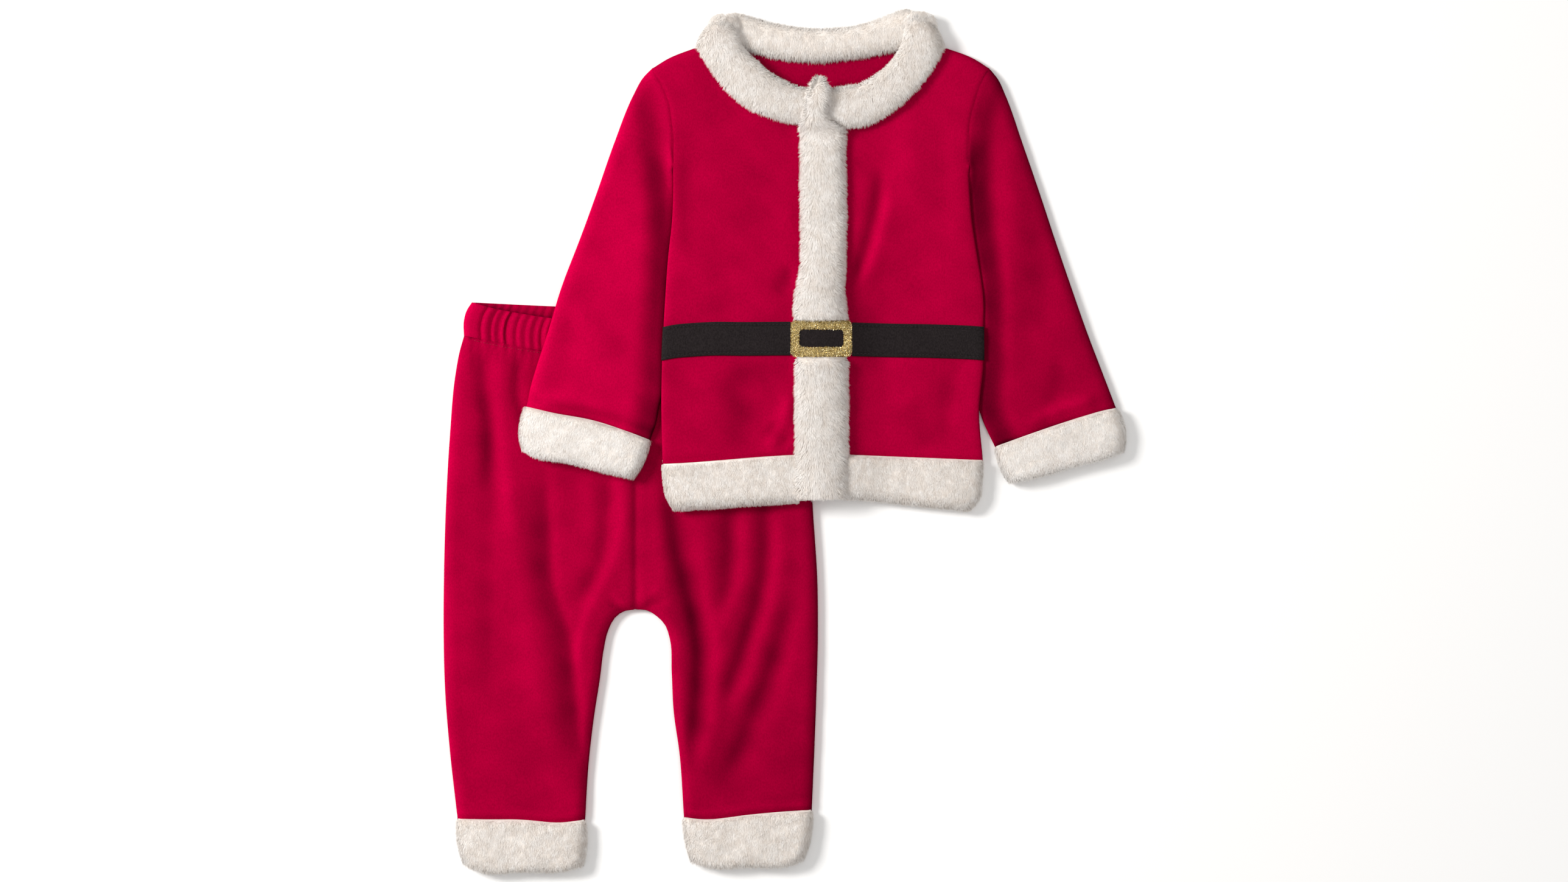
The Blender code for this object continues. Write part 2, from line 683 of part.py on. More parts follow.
def make_jacket_back(finish):
    """The back in one piece. Its rows meet the fronts' rows at the sides."""
    heights = edge_heights()
    left, right = body_side("left")(heights), body_side("right")(heights)
    level = len(FRONT_ROWS["side"])
    side_steps = np.array(BACK_SIDE_COLUMNS)
    neck_left = neck_to_centre("left", NECK_BACK)(BACK_NECK_COLUMNS)
    neck_right = neck_to_centre("right", NECK_BACK)(BACK_NECK_COLUMNS[:-1])
    tips = [shoulder(side)(BACK_SHOULDER_COLUMNS) for side in ("left", "right")]
    top = np.concatenate([tips[0], neck_left, neck_right[::-1], tips[1][::-1]])
    middle = len(top) - 2 * len(side_steps)
    rows = []
    for y, low, high in zip(heights[:level], left, right):
        inside = np.linspace(low + side_steps[-1], high - side_steps[-1], middle + 2)[1:-1]
        x = np.concatenate([low + side_steps, inside, high - side_steps[::-1]])
        rows.append(np.stack([x, np.full(len(x), y)], -1))
    side_a = np.stack([left[level - 1 :], heights[level - 1 :]], -1)
    side_b = np.stack([right[level - 1 :], heights[level - 1 :]], -1)
    u = (rows[-1][:, 0] - rows[-1][0, 0]) / np.ptp(rows[-1][:, 0])
    v = np.r_[0, UPPER_ROWS]
    plan = np.concatenate([np.array(rows), patch(rows[-1], top, side_a, side_b, u, v)[1:]])
    rims = body_rims("left", BACK_REACH, -SEAM / 2) + body_rims("right", BACK_REACH, -SEAM / 2)
    outer, inner = wall_points(plan, rims, 0.0, VELOUR)
    solid("jacket_back", outer, inner, finish)


def make_sleeve(side, finish):
    """A sleeve with no shoulder seam: a flattened tube whose end follows the armhole."""
    outward = -1 if side == "left" else 1
    heights = edge_heights()[len(FRONT_ROWS["side"]) + UNDERARM_ROW :][::-1]
    armhole_x = body_side(side)(heights) + outward * SEAM
    seam_y = np.sort(np.concatenate([heights, SLEEVE_COLUMNS]))[::-1]
    armhole = np.stack([np.interp(-seam_y, -heights, armhole_x), seam_y], -1)
    leaves = SLEEVE_ENDS[side + "_y"][0]
    down = np.linspace(heights[-1], leaves + 12, 12)
    inner_x = body_side(side)(down) + outward * 2 * SEAM
    inner_edge = curve(np.r_[inner_x, SLEEVE_ENDS[side + "_x"]], np.r_[down, SLEEVE_ENDS[side + "_y"]])
    outer_edge = curve(SLEEVES[side + "_x"], SLEEVES[side + "_y"])
    seam = curve(CUFFS[side + "_x"], CUFFS[side + "_y"])
    length = np.r_[0, np.cumsum(np.hypot(*np.diff(armhole, axis=0).T))]
    u = length / length[-1]
    v = np.array((0, 0.03, 0.08, 0.15, 0.24, 0.34, 0.44, 0.54, 0.64, 0.74, 0.84, 0.92, 1))
    plan = patch(armhole, seam(u), outer_edge(v), inner_edge(v), u, v)
    routes = (outer_edge, reverse(inner_edge)) if side == "left" else (reverse(outer_edge), inner_edge)
    rims = [rim(routes[0], SLEEVE_FOLD, FUR_REACH, VELOUR), rim(routes[1], UNDERARM_FOLD, 5.0, VELOUR)]
    beside_body = 1 - ramp(near(plan, rims[1]["route"])[0] / SLEEVE_TROUGH["width"])
    trough = SLEEVE_TROUGH["depth"] * beside_body * ramp(v / SLEEVE_TROUGH["starts"])[:, None]
    level = LAID - trough + folds(JACKET_FOLDS, plan[..., 0], plan[..., 1])
    keep = [k for k in range(len(u)) if k % 2 == 0 or seam_y[k] in heights]
    levels = ((level, level - VELOUR), (0.0, VELOUR))
    tube(f"sleeve_{side}", plan, plan[:, keep], rims, levels, finish)


def end_roll(plan, routes, drop, reach):
    """How far a thick fur wall rounds down towards its cut ends."""
    total = np.zeros(plan.shape[:-1])
    for route, amount in zip(routes, drop):
        total += amount * (1 - roll(near(plan, route(np.linspace(0, 1, 60)))[0] / reach))
    return total


def make_fur_tube(name, paths, routes, ends, finish, lifted):
    """A fur cuff: a thick flattened ring, rounded at both ends, open through the middle."""
    v = np.array((0, 0.08, 0.3, 0.7, 0.92, 1))
    u_front = rimmed(CUFF_WIDTH, (0, 1.5, 4.5, 9.0), 4)
    u_back = rimmed(CUFF_WIDTH, (0, 3.0, 9.0), 3)
    front, back = between(paths, u_front, v), between(paths, u_back, v)
    rims = [rim(route, CUFF_FOLD, FUR_REACH, FUR_SIDE) for route in routes]
    top = FUR_LAID - end_roll(front, ends, (4.0, 3.0), 5.0)
    tube(name, front, back, rims, ((top, FUR_LAID - FUR_FRONT), (0.0, FUR_BACK)), finish, lifted=lifted)


def make_cuff(side, finish):
    """Fur round a sleeve's end."""
    turned = -1 if side == "left" else 1
    seam = beside(curve(CUFFS[side + "_x"], CUFFS[side + "_y"]), turned * 1.5 * SEAM)
    open_end = curve(CUFFS[side + "_open_x"], CUFFS[side + "_open_y"])
    outside = bulging(seam(0), open_end(0), -turned * CUFF_BULGE[side][0])
    inside = bulging(seam(1), open_end(1), turned * CUFF_BULGE[side][1])
    routes = (outside, reverse(inside)) if side == "left" else (reverse(outside), inside)
    make_fur_tube(f"cuff_{side}", (seam, open_end, outside, inside), routes, (seam, open_end), finish, True)


def make_leg_cuff(side, finish):
    """Fur round a trouser leg's end."""
    seam = beside(curve(LEG_CUFFS[side + "_x"], LEG_CUFFS[side + "_y"]), -1.5 * SEAM)
    open_end = curve(LEG_CUFFS[side + "_open_x"], LEG_CUFFS[side + "_open_y"])
    west = bulging(seam(0), open_end(0), LEG_CUFF_BULGE[side][0])
    east = bulging(seam(1), open_end(1), -LEG_CUFF_BULGE[side][1])
    routes = (west, reverse(east))
    make_fur_tube(f"leg_cuff_{side}", (seam, open_end, west, east), routes, (seam, open_end), finish, False)


def make_collar(finish):
    """The standing collar pressed flat: its front over its back, joined where it turns at the shoulders."""
    front_low = beside(curve(NECK_FRONT["x"], NECK_FRONT["y"]), 2.5 * SEAM)
    back_low = beside(curve(NECK_BACK["x"], NECK_BACK["y"]), 4 * SEAM)
    front_free = curve(FREE_FRONT["x"], FREE_FRONT["y"])
    back_free = curve(FREE_BACK["x"], FREE_BACK["y"])
    low_west = (NECK_FRONT["x"][0] + SEAM, NECK_FRONT["y"][0] + 4 * SEAM)
    low_east = (NECK_FRONT["x"][-1] - SEAM, NECK_FRONT["y"][-1] + 4 * SEAM)
    west = bulging(low_west, front_free(0), -COLLAR_BULGE)
    east = bulging(low_east, front_free(1), COLLAR_BULGE)
    v = (0, 0.1, 0.35, 0.65, 0.9, 1)
    u_front = rimmed(COLLAR_FRONT_LENGTH, (0, 2, 6, 13, 24), 11)
    u_back = rimmed(COLLAR_BACK_LENGTH, (0, 3, 9, 18), 8)
    front = between((front_low, front_free, west, east), u_front, v)
    back = between((back_low, back_free, west, east), u_back, v)
    rims = [rim(route, COLLAR_FOLD, FUR_REACH, COLLAR_WALL * 0.7) for route in (reverse(west), east)]
    top = COLLAR_LAID - end_roll(front, (front_low, front_free), (4.0, 4.0), 6.0)
    inside_back = COLLAR_WALL - end_roll(back, (back_low, back_free), (2.5, 4.0), 6.0)
    levels = ((top, COLLAR_LAID - COLLAR_WALL), (0.0, inside_back))
    tube("collar", front, back, rims, levels, finish, lifted=False)


def hem_route():
    """Free edge of the hem, from the left side seam along the bottom to the right side seam."""
    return curve(HEM_EDGE["x"], HEM_EDGE["y"])


def make_hem_front(side, finish):
    """Fur along the bottom edge of one front, from the side seam to the fur band."""
    edge = hem_route()
    inner_x = STRIP_LEFT - SEAM if side == "left" else STRIP_RIGHT + SEAM
    corner = share_at(edge, 0, HEM_CORNERS[0 if side == "left" else 1])
    meets = share_at(edge, 0, inner_x)
    ends_at = 0.0 if side == "left" else 1.0
    gap = 1.5 * SEAM
    start_x, centre_y = edge(ends_at)[0], HEM_SEAM_Y[1] - gap
    slope = (HEM_SEAM_Y[1] - HEM_SEAM_Y[0]) / (BODY_CENTRE - start_x)
    seam = line((start_x, HEM_SEAM_Y[0] - gap), (inner_x, centre_y - slope * (BODY_CENTRE - inner_x)))
    bottom, down = part_of(edge, corner, meets), part_of(edge, ends_at, corner)
    butt = line(seam(1), edge(meets))
    u = np.array((0, 2, 6, 12, 25, 42, 60, 78, 100)) / 100
    v = np.array((0, 0.12, 0.35, 0.62, 0.82, 0.95, 1))
    plan = between((seam, bottom, down, butt), u, v)
    rims = [rim(edge, HEM_SEAM + 2 * SEAM, FUR_REACH, FUR_SIDE * 0.7)]
    top = FUR_LAID - end_roll(plan, (seam,), (4.0,), 6.0)
    outer, inner = wall_points(plan, rims, top, FUR_LAID - HEM_FRONT)
    solid(f"hem_front_{side}", outer, inner, finish)


def make_hem_back(finish):
    """Fur along the bottom edge of the back."""
    edge = hem_route()
    low, high = (share_at(edge, 0, x) for x in HEM_CORNERS)
    seam = line(edge(0) - (0, 1.5 * SEAM), edge(1) - (0, 1.5 * SEAM))
    paths = (seam, part_of(edge, low, high), part_of(edge, 0, low), part_of(edge, 1, high))
    plan = between(paths, rimmed(HEM_BACK_WIDTH, (0, 5, 12), 11), (0, 0.3, 0.65, 0.88, 1))
    rims = [rim(edge, HEM_SEAM - 2 * SEAM, FUR_REACH, FUR_SIDE * 0.7)]
    outer, inner = wall_points(plan, rims, 0.0, HEM_BACK)
    solid("hem_back", outer, inner, finish)


def on_front(x, y, above):
    """Height above the jacket's upper face, away from its rims."""
    return front_level(np.stack([x, y], -1)) + rise(x, y) + above


def make_strip(name, rows, finish):
    """A stretch of the fur band: rows of (y, left, right, extra height), piled highest along the middle."""
    shares = np.array(STRIP_COLUMNS)
    y, left, right, extra = (column[:, None] for column in np.array(rows, float).T)
    x = left + (right - left) * shares
    y = np.broadcast_to(y, x.shape)
    from_side = np.minimum(shares, 1 - shares) * (right - left)
    from_end = np.minimum(y - y.min(), y.max() - y)
    pile = STRIP_PILE * (0.3 + 0.7 * roll(from_side / 6) * roll(from_end / 5))
    base = on_front(x, y, SEAM + LAY_GAP) + extra
    plan = np.stack([x, y], -1)
    outer = np.concatenate([plan, (base + pile)[..., None]], -1)
    inner = np.concatenate([plan, base[..., None]], -1)
    solid(name, outer, inner, finish)


def make_strips(finish):
    """The fur band down the closing, above and below the belt."""
    neck_y = neck_to_centre("left", NECK_FRONT)(1.0)[1]
    above = LEVEL_ROWS_END + np.array(UPPER_ROWS) * (neck_y - LEVEL_ROWS_END)
    centre_y = np.r_[FRONT_ROWS["centre"], above]
    top = BUCKLE["high"] + SEAM
    ends = [top, top + 1.5, top + 5]
    upper = sorted(ends + [y for y in centre_y if top + 8 < y < UNDERLAP_END["y"][0] - 3])
    rows = [(y, STRIP_LEFT, STRIP_RIGHT, 0.0) for y in upper] + list(zip(*UNDERLAP_END.values()))
    make_strip("band_upper", rows, finish)
    low = hem_route()(share_at(hem_route(), 0, BODY_CENTRE))[1] - SEAM
    high = BUCKLE["low"] - SEAM
    ends = [low, low + 1.5, low + 5, high - 5, high - 1.5, high]
    lower = sorted(ends + [y for y in centre_y if low + 8 < y < high - 8])
    make_strip("band_lower", [(y, STRIP_LEFT, STRIP_RIGHT, 0.0) for y in lower], finish)


def make_belt(side, front, finish):
    """The belt on one front, made from the front's own points, from the side seam to the buckle."""
    stop = BUCKLE["left"] - SEAM if side == "left" else BUCKLE["right"] + SEAM
    outward = -1 if side == "left" else 1
    rows = front[BELT_ROWS[0] : BELT_ROWS[1] + 1]
    keep = outward * (rows[0, :, 0] - stop) > 4
    points = rows[:, keep]
    last = rows[:, len(points[0]) - 1 : len(points[0]) + 1]
    share = (stop - last[:, :1, 0]) / (last[:, 1:, 0] - last[:, :1, 0])
    points = np.concatenate([points, last[:, :1] + share[..., None] * (last[:, 1:] - last[:, :1])], 1)
    step = np.gradient(points, axis=1)
    normal = np.stack([-step[..., 2], np.zeros(step.shape[:2]), step[..., 0]], -1)
    normal *= np.sign(normal[..., 2:])
    normal /= np.linalg.norm(normal, axis=-1, keepdims=True)
    normal[:, 0] = (outward, 0, 0)
    normal[:, -1] = (0, 0, 1)
    inner = points + normal * (SEAM + LAY_GAP)
    outer = points + normal * (SEAM + LAY_GAP + BELT_WALL)
    solid(f"belt_{side}", outer, inner, finish)


def rounded_rectangle(box, radius, steps, per_side):
    """Points round a rectangle with round corners, anticlockwise."""
    centres = (
        (box["right"] - radius, box["high"] - radius, 0),
        (box["left"] + radius, box["high"] - radius, 1),
        (box["left"] + radius, box["low"] + radius, 2),
        (box["right"] - radius, box["low"] + radius, 3),
    )
    corners = []
    for x, y, quarter in centres:
        angle = np.pi / 2 * (quarter + np.linspace(0, 1, steps))
        corners.append(np.stack([x + radius * np.cos(angle), y + radius * np.sin(angle)], -1))
    points = []
    for here, following in zip(corners, corners[1:] + corners[:1]):
        straight = np.linspace(here[-1], following[0], per_side + 2)[1:-1]
        points += [here, straight]
    return np.concatenate(points)


def make_buckle(finish):
    """The flat buckle: a sewn frame of woven metal thread, lying over the closing."""
    around = rounded_rectangle(BUCKLE, BUCKLE_CORNER, 3, 5)
    window = rounded_rectangle(WINDOW, BUCKLE_CORNER, 3, 5)
    inward = np.array(BUCKLE_PROFILE["inward"])[:, None, None]
    plan = around * (1 - inward) + window * inward
    base = on_front(plan[..., 0], plan[..., 1], SEAM + LAY_GAP)
    thick = BUCKLE_PROFILE["height"][:, None] * BUCKLE_WALL
    outer = np.concatenate([plan, (base + thick)[..., None]], -1)
    inner = np.concatenate([plan, base[..., None]], -1)
    solid("buckle_frame", outer, inner, finish, wrap=True)


def make_belt_centre(finish):
    """The belt's velour that shows inside the buckle."""
    x = np.linspace(WINDOW["left"] + 3 * SEAM, WINDOW["right"] - 3 * SEAM, 7)
    y = np.linspace(WINDOW["low"] + 3 * SEAM, WINDOW["high"] - 3 * SEAM, 3)
    x, y = np.meshgrid(x, y)
    base = on_front(x, y, SEAM + LAY_GAP)
    outer = np.stack([x, y, base + BELT_WALL], -1)
    solid("belt_centre", outer, np.stack([x, y, base], -1), finish)


def waist_path(side_shares, which, face):
    """A stretch of the waist seam or edge between two shares of its width."""
    low, high = LEGS_OUTSIDE["left_x"][0], LEGS_OUTSIDE["right_x"][0]
    shares = np.linspace(*side_shares, 40)
    return curve(low + (high - low) * shares, smooth(shares, which["share"], which[face]))


def trouser_paths(side, face):
    """The four sides of a leg panel, its rolled edges, and the crotch as a share of its centre side."""
    low, high = LEGS_OUTSIDE["left_x"][0], LEGS_OUTSIDE["right_x"][0]
    left = side == "left"
    centre_x = TROUSER_CENTRE + (-SEAM / 2 if left else SEAM / 2)
    middle = (centre_x - low) / (high - low)
    waist = waist_path((0, middle) if left else (middle, 1), WAIST_SEAM, face)
    crotch = (centre_x, LEGS_INSIDE[side + "_y"][0])
    inside = curve(LEGS_INSIDE[side + "_x"], LEGS_INSIDE[side + "_y"])
    centre = joined(line(waist(1) if left else waist(0), crotch), inside)
    outside = curve(LEGS_OUTSIDE[side + "_x"], LEGS_OUTSIDE[side + "_y"])
    cuff = curve(LEG_CUFFS[side + "_x"], LEG_CUFFS[side + "_y"])
    sides = (outside, centre) if left else (centre, outside)
    end, chord = line(sides[0](1), sides[1](1)), line(cuff(0), cuff(1))

    def hem(s):
        return end(s) + cuff(s) - chord(s)

    routes = (outside, reverse(inside)) if left else (inside, reverse(outside))
    share = share_at(centre, 1, crotch[1] + 0.1)
    return (waist, hem, *sides), routes, share


def make_leg(side, face, finish):
    """A front or back panel of the trousers, from the waistband to the cuff."""
    paths, routes, crotch = trouser_paths(side, face)
    front = face == "front"
    if front:
        above = np.array((0, 0.07, 0.15, 0.24, 0.33, 0.42, 0.49))
        about = crotch + np.array((-0.022, -0.009, -0.003, 0, 0.014, 0.03, 0.05, 0.075, 0.11))
        below = np.array((0.7, 0.75, 0.8, 0.86, 0.93, 1))
        u = rimmed(LEG_WIDTH, (0, 1.0, 3.0, 6.0), 8)
    else:
        above = np.array((0, 0.2, 0.42))
        about = crotch + np.array((-0.014, 0, 0.03, 0.07))
        below = np.array((0.72, 0.86, 1))
        u = rimmed(LEG_WIDTH, (0, 3.5, 9.0), 3)
    plan = between(paths, u, np.concatenate([above, about, below]))
    gap = SEAM / 2 if front else -SEAM / 2
    rims = [rim(route, LEG_SEAM + gap, LEG_REACH if front else BACK_REACH, VELOUR) for route in routes]
    x, y = plan[..., 0], plan[..., 1]
    if front:
        seam_dip = np.exp(-(((x - TROUSER_CENTRE) / CENTRE_SEAM_DIP["width"]) ** 2))
        level = TROUSERS_LAID - CENTRE_SEAM_DIP["depth"] * seam_dip + folds(TROUSER_FOLDS, x, y)
        outer, inner = wall_points(plan, rims, level, level - VELOUR, lifted=False, butt_rows=(0, -1))
    else:
        outer, inner = wall_points(plan, rims, 0.0, VELOUR, lifted=False, butt_rows=(0, -1))
    solid(f"trouser_{face}_{side}", outer, inner, finish)


def make_waistband(finish):
    """The gathered casing of the elastic, one ring, its front edge dipping below its back edge."""
    k = np.arange(2 * GATHERS + 1)
    u = (k + 0.35 * np.sin(k * 2.39) * (k > 0) * (k < k[-1])) / k[-1]
    v = np.array((0, 0.5, 1))
    low, high = LEGS_OUTSIDE["left_x"][0], LEGS_OUTSIDE["right_x"][0]
    left, right = (curve(BAND_SIDES[side], BAND_SIDES["y"]) for side in ("left", "right"))
    top_left, top_right = BAND_SIDES["left"][0], BAND_SIDES["right"][0]
    rims = [rim(left, LEG_SEAM, 6.0, BAND_WALL), rim(reverse(right), LEG_SEAM, 6.0, BAND_WALL)]
    plans = []
    for face in ("front", "back"):
        y_edge = smooth(u, WAIST_EDGE["share"], WAIST_EDGE[face])
        y_seam = smooth(u, WAIST_SEAM["share"], WAIST_SEAM[face]) + 1.5 * SEAM
        edge = np.stack([top_left + u * (top_right - top_left), y_edge], -1)
        seam = np.stack([low + u * (high - low), y_seam], -1)
        plans.append(patch(edge, seam, left(v), right(v), u, v))
    raised = (k % 2) * (0.75 + 0.25 * np.sin(k * 1.7))

    def gather(outer, inner, front):
        fade = ramp(np.minimum(u, 1 - u) / GATHERS_START)
        if front:
            outer[..., 2] += GATHER_DEPTH * (raised - 0.5) * fade
        else:
            outer[..., 2] += GATHER_DEPTH * 0.6 * (1 - raised) * fade
        return outer, inner

    levels = ((BAND_LAID, BAND_LAID - BAND_WALL), (0.0, BAND_WALL))
    tube("waistband", *plans, rims, levels, finish, trim=gather, lifted=False)


def centre_on_origin():
    """Moves the whole suit so that the middle of its box is above the origin."""
    made = [item for item in bpy.data.objects if item.type == "MESH"]
    corners = np.concatenate([np.array([vertex.co for vertex in item.data.vertices]) for item in made])
    shift = -(corners.min(0) + corners.max(0)) / 2
    for item in made:
        item.location = (shift[0], shift[1], -corners.min(0)[2])


def main():
    """Builds the suit, jacket first."""
    for item in list(bpy.data.objects):
        bpy.data.objects.remove(item)
    red = material("red_velour", (0.42, 0.0, 0.035), 0.85)
    black = material("charcoal_velour", (0.023, 0.019, 0.021), 0.9)
    fur = material("fur", (0.78, 0.70, 0.64), 0.95)
    gold = material("gold_thread", (0.45, 0.32, 0.12), 0.45, 0.6)
    make_jacket_back(red)
    for side in ("left", "right"):
        front = make_front(side, red)
        make_belt(side, front, black)
        make_sleeve(side, red)
        make_cuff(side, fur)
        make_hem_front(side, fur)
        make_leg(side, "front", red)
        make_leg(side, "back", red)
        make_leg_cuff(side, fur)
    make_hem_back(fur)
    make_collar(fur)
    make_strips(fur)
    make_buckle(gold)
    make_belt_centre(black)
    make_waistband(red)
    centre_on_origin()


main()
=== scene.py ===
# %% [markdown]
# # An infant's Santa suit, laid flat
#
# The suit is red knitted velour with trims of off-white faux fur, a charcoal velour belt and a buckle of
# gold tinsel cloth. The jacket lies half on the trousers. The imported model gives every piece's place, so this
# script cuts the same pieces again, much finer, and gives each its cloth: folds, seams, painted light and
# shade, pile and thread.
# Lengths are in millimetres while a piece is worked out, and metres once it is a mesh.

import bpy
import numpy as np
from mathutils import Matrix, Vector


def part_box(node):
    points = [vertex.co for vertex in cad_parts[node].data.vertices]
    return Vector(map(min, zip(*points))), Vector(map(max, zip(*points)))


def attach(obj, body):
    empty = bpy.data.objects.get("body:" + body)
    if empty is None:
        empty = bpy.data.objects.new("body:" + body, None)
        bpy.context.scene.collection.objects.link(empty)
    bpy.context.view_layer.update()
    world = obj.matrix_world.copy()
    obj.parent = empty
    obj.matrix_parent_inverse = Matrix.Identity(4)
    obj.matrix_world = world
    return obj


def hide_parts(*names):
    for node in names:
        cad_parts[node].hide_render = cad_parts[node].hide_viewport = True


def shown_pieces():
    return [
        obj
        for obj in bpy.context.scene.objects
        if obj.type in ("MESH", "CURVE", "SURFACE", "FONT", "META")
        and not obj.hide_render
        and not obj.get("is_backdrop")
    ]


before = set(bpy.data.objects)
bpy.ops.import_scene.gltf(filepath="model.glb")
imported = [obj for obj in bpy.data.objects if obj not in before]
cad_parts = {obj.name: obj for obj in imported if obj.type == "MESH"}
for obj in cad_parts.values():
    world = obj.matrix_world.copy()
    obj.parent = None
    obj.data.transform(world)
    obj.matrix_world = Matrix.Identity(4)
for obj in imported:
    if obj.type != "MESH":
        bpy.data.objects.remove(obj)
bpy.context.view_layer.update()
print("packed nodes:", len(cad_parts))

# %% [markdown]
# The pattern pieces below are drawn from a point near the middle of the jacket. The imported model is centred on
# the suit's own box instead, so one piece that both know, the buckle, gives the step from one to the other.

# %% The step from the pattern's origin to the model's
MM = 0.001
BUCKLE = dict(left=5.2, right=50.2, low=62.1, high=88.6)
buckle_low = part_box("buckle_frame")[0]
SHIFT = np.array([buckle_low[0] / MM - BUCKLE["left"], buckle_low[1] / MM - BUCKLE["low"], 0.0])
print("pattern to model, mm:", SHIFT.round(3))

# %% [markdown]
# ## Camera, floor and light
#
# The suit lies flat, so the camera looks straight down and its up is the suit's +Y. A long lens from 2.5 m
# keeps the thick collar from leaning. The light is a bright even surround, which fills the folds, a soft lamp
# low on the left, which shows the nap, the pile and their shadows, and a broad weaker one overhead.

# %% Camera
CAMERA_HEIGHT = 2.5
VIEW_WIDTH = 1159.2 * MM  # how much of the suit's plane the view takes in from side to side
VIEW_LEVEL = 10 * MM  # height of that plane
VIEW_STEP = 0.225 * MM  # the view's middle is this far right of the pattern's origin, and as far below it
VIEW_CENTRE = (SHIFT[0] * MM + VIEW_STEP, SHIFT[1] * MM - VIEW_STEP)
SENSOR = 36.0
camera = bpy.data.objects.new("camera", bpy.data.cameras.new("camera"))
bpy.context.scene.collection.objects.link(camera)
camera.location = (*VIEW_CENTRE, CAMERA_HEIGHT)
camera.data.sensor_width = SENSOR
camera.data.lens = SENSOR * (CAMERA_HEIGHT - VIEW_LEVEL) / VIEW_WIDTH
bpy.context.scene.camera = camera
print("lens, mm:", round(camera.data.lens, 2))

# %% Light and colour
scene = bpy.context.scene
scene.view_settings.view_transform = "Standard"
world = bpy.data.worlds.new("studio")
scene.world = world
world.use_nodes = True
surround = world.node_tree.nodes["Background"]
surround.inputs["Color"].default_value = (1.0, 0.985, 0.97, 1.0)
surround.inputs["Strength"].default_value = 0.44


def lamp(name, place, size, power, colour):
    """A square area lamp at a place in metres, aimed at the middle of the suit."""
    data = bpy.data.lights.new(name, "AREA")
    data.size, data.energy, data.color = size, power, colour
    made = bpy.data.objects.new(name, data)
    made.location = place
    made.rotation_euler = (-Vector(place)).to_track_quat("-Z", "Y").to_euler()
    scene.collection.objects.link(made)


lamp("key", (-1.9, 0.75, 1.7), 0.8, 64.0, (1.0, 0.985, 0.96))
lamp("overhead", (0.4, 0.2, 2.9), 2.2, 22.0, (1.0, 0.99, 0.98))

# %% [markdown]
# ## Finishes
#
# Each finish starts from what the cloth is. Patterns read Object coordinates, which are the suit's own metres,
# so a pattern's scale is one over a real size. Where a finish follows the piece, such as the painted shade at
# the bottom of a fold or the pale tip of a fibre, the mesh carries a number for each point and the material
# reads it by name.

# %% Colours and nodes
def linear(code):
    """An sRGB hex colour as the linear values that a shader takes."""
    values = np.array([int(code[k : k + 2], 16) for k in (1, 3, 5)]) / 255
    values = np.where(values <= 0.04045, values / 12.92, ((values + 0.055) / 1.055) ** 2.4)
    return (*values.tolist(), 1.0)


def add(tree, kind, settings=None, **inputs):
    """Adds a node. Settings are its properties, and inputs are values or another node's output.

    An input goes by its socket's name, or by its number after an underscore where several share a name.
    """
    made = tree.nodes.new(kind)
    for key, value in (settings or {}).items():
        setattr(made, key, value)
    for key, value in inputs.items():
        socket = made.inputs[int(key[1:]) if key[1:].isdigit() else key.replace("_", " ")]
        if isinstance(value, bpy.types.NodeSocket):
            tree.links.new(value, socket)
        else:
            socket.default_value = value
    return made


def finish(name, roughness, metallic=0.0, sheen=0.0, sheen_tint="#ffffff", specular=0.5):
    """A new material with its Principled shader: returns the material, its tree and the shader."""
    made = bpy.data.materials.new(name)
    made.use_nodes = True
    tree = made.node_tree
    shader = tree.nodes["Principled BSDF"]
    shader.inputs["Roughness"].default_value = roughness
    shader.inputs["Metallic"].default_value = metallic
    shader.inputs["Sheen Weight"].default_value = sheen
    shader.inputs["Sheen Roughness"].default_value = 0.45
    shader.inputs["Sheen Tint"].default_value = linear(sheen_tint)
    shader.inputs["Specular IOR Level"].default_value = specular
    return made, tree, shader


def noise_at(tree, size_mm, detail=2.0, stretch=(1.0, 1.0, 1.0)):
    """Noise on the suit's own metres with features of a size, as a value from 0 to 1."""
    place = add(tree, "ShaderNodeTexCoord").outputs["Object"]
    scaled = add(tree, "ShaderNodeMapping", Vector=place, Scale=stretch).outputs["Vector"]
    scale = 1 / (size_mm * MM)
    return add(tree, "ShaderNodeTexNoise", Vector=scaled, Scale=scale, Detail=detail).outputs["Fac"]


def levels(tree, value, *stops):
    """A colour ramp through (place, hex colour) stops."""
    ramp_node = add(tree, "ShaderNodeValToRGB", Fac=value)
    stops_in = ramp_node.color_ramp.elements
    stops_in[0].position, stops_in[1].position = stops[0][0], stops[-1][0]
    stops_in[0].color, stops_in[1].color = linear(stops[0][1]), linear(stops[-1][1])
    for place, code in stops[1:-1]:
        stops_in.new(place).color = linear(code)
    return ramp_node.outputs["Color"]


def toned(tree, colour, strength, value, *stops):
    """A colour multiplied by a ramp over a value, at a strength from 0 to 1."""
    tones = levels(tree, value, *stops)
    blend = dict(data_type="RGBA", blend_type="MULTIPLY")
    return add(tree, "ShaderNodeMix", blend, _0=strength, _6=colour, _7=tones).outputs[2]


def number_of(tree, name):
    """The number that a mesh carries on its points under a name."""
    return add(tree, "ShaderNodeAttribute", dict(attribute_name=name)).outputs["Fac"]


def grained(tree, shader, height, strength, depth_mm):
    """Gives a shader fine relief from a height pattern."""
    relief = add(tree, "ShaderNodeBump", Height=height, Strength=strength, Distance=depth_mm * MM)
    tree.links.new(relief.outputs["Normal"], shader.inputs["Normal"])
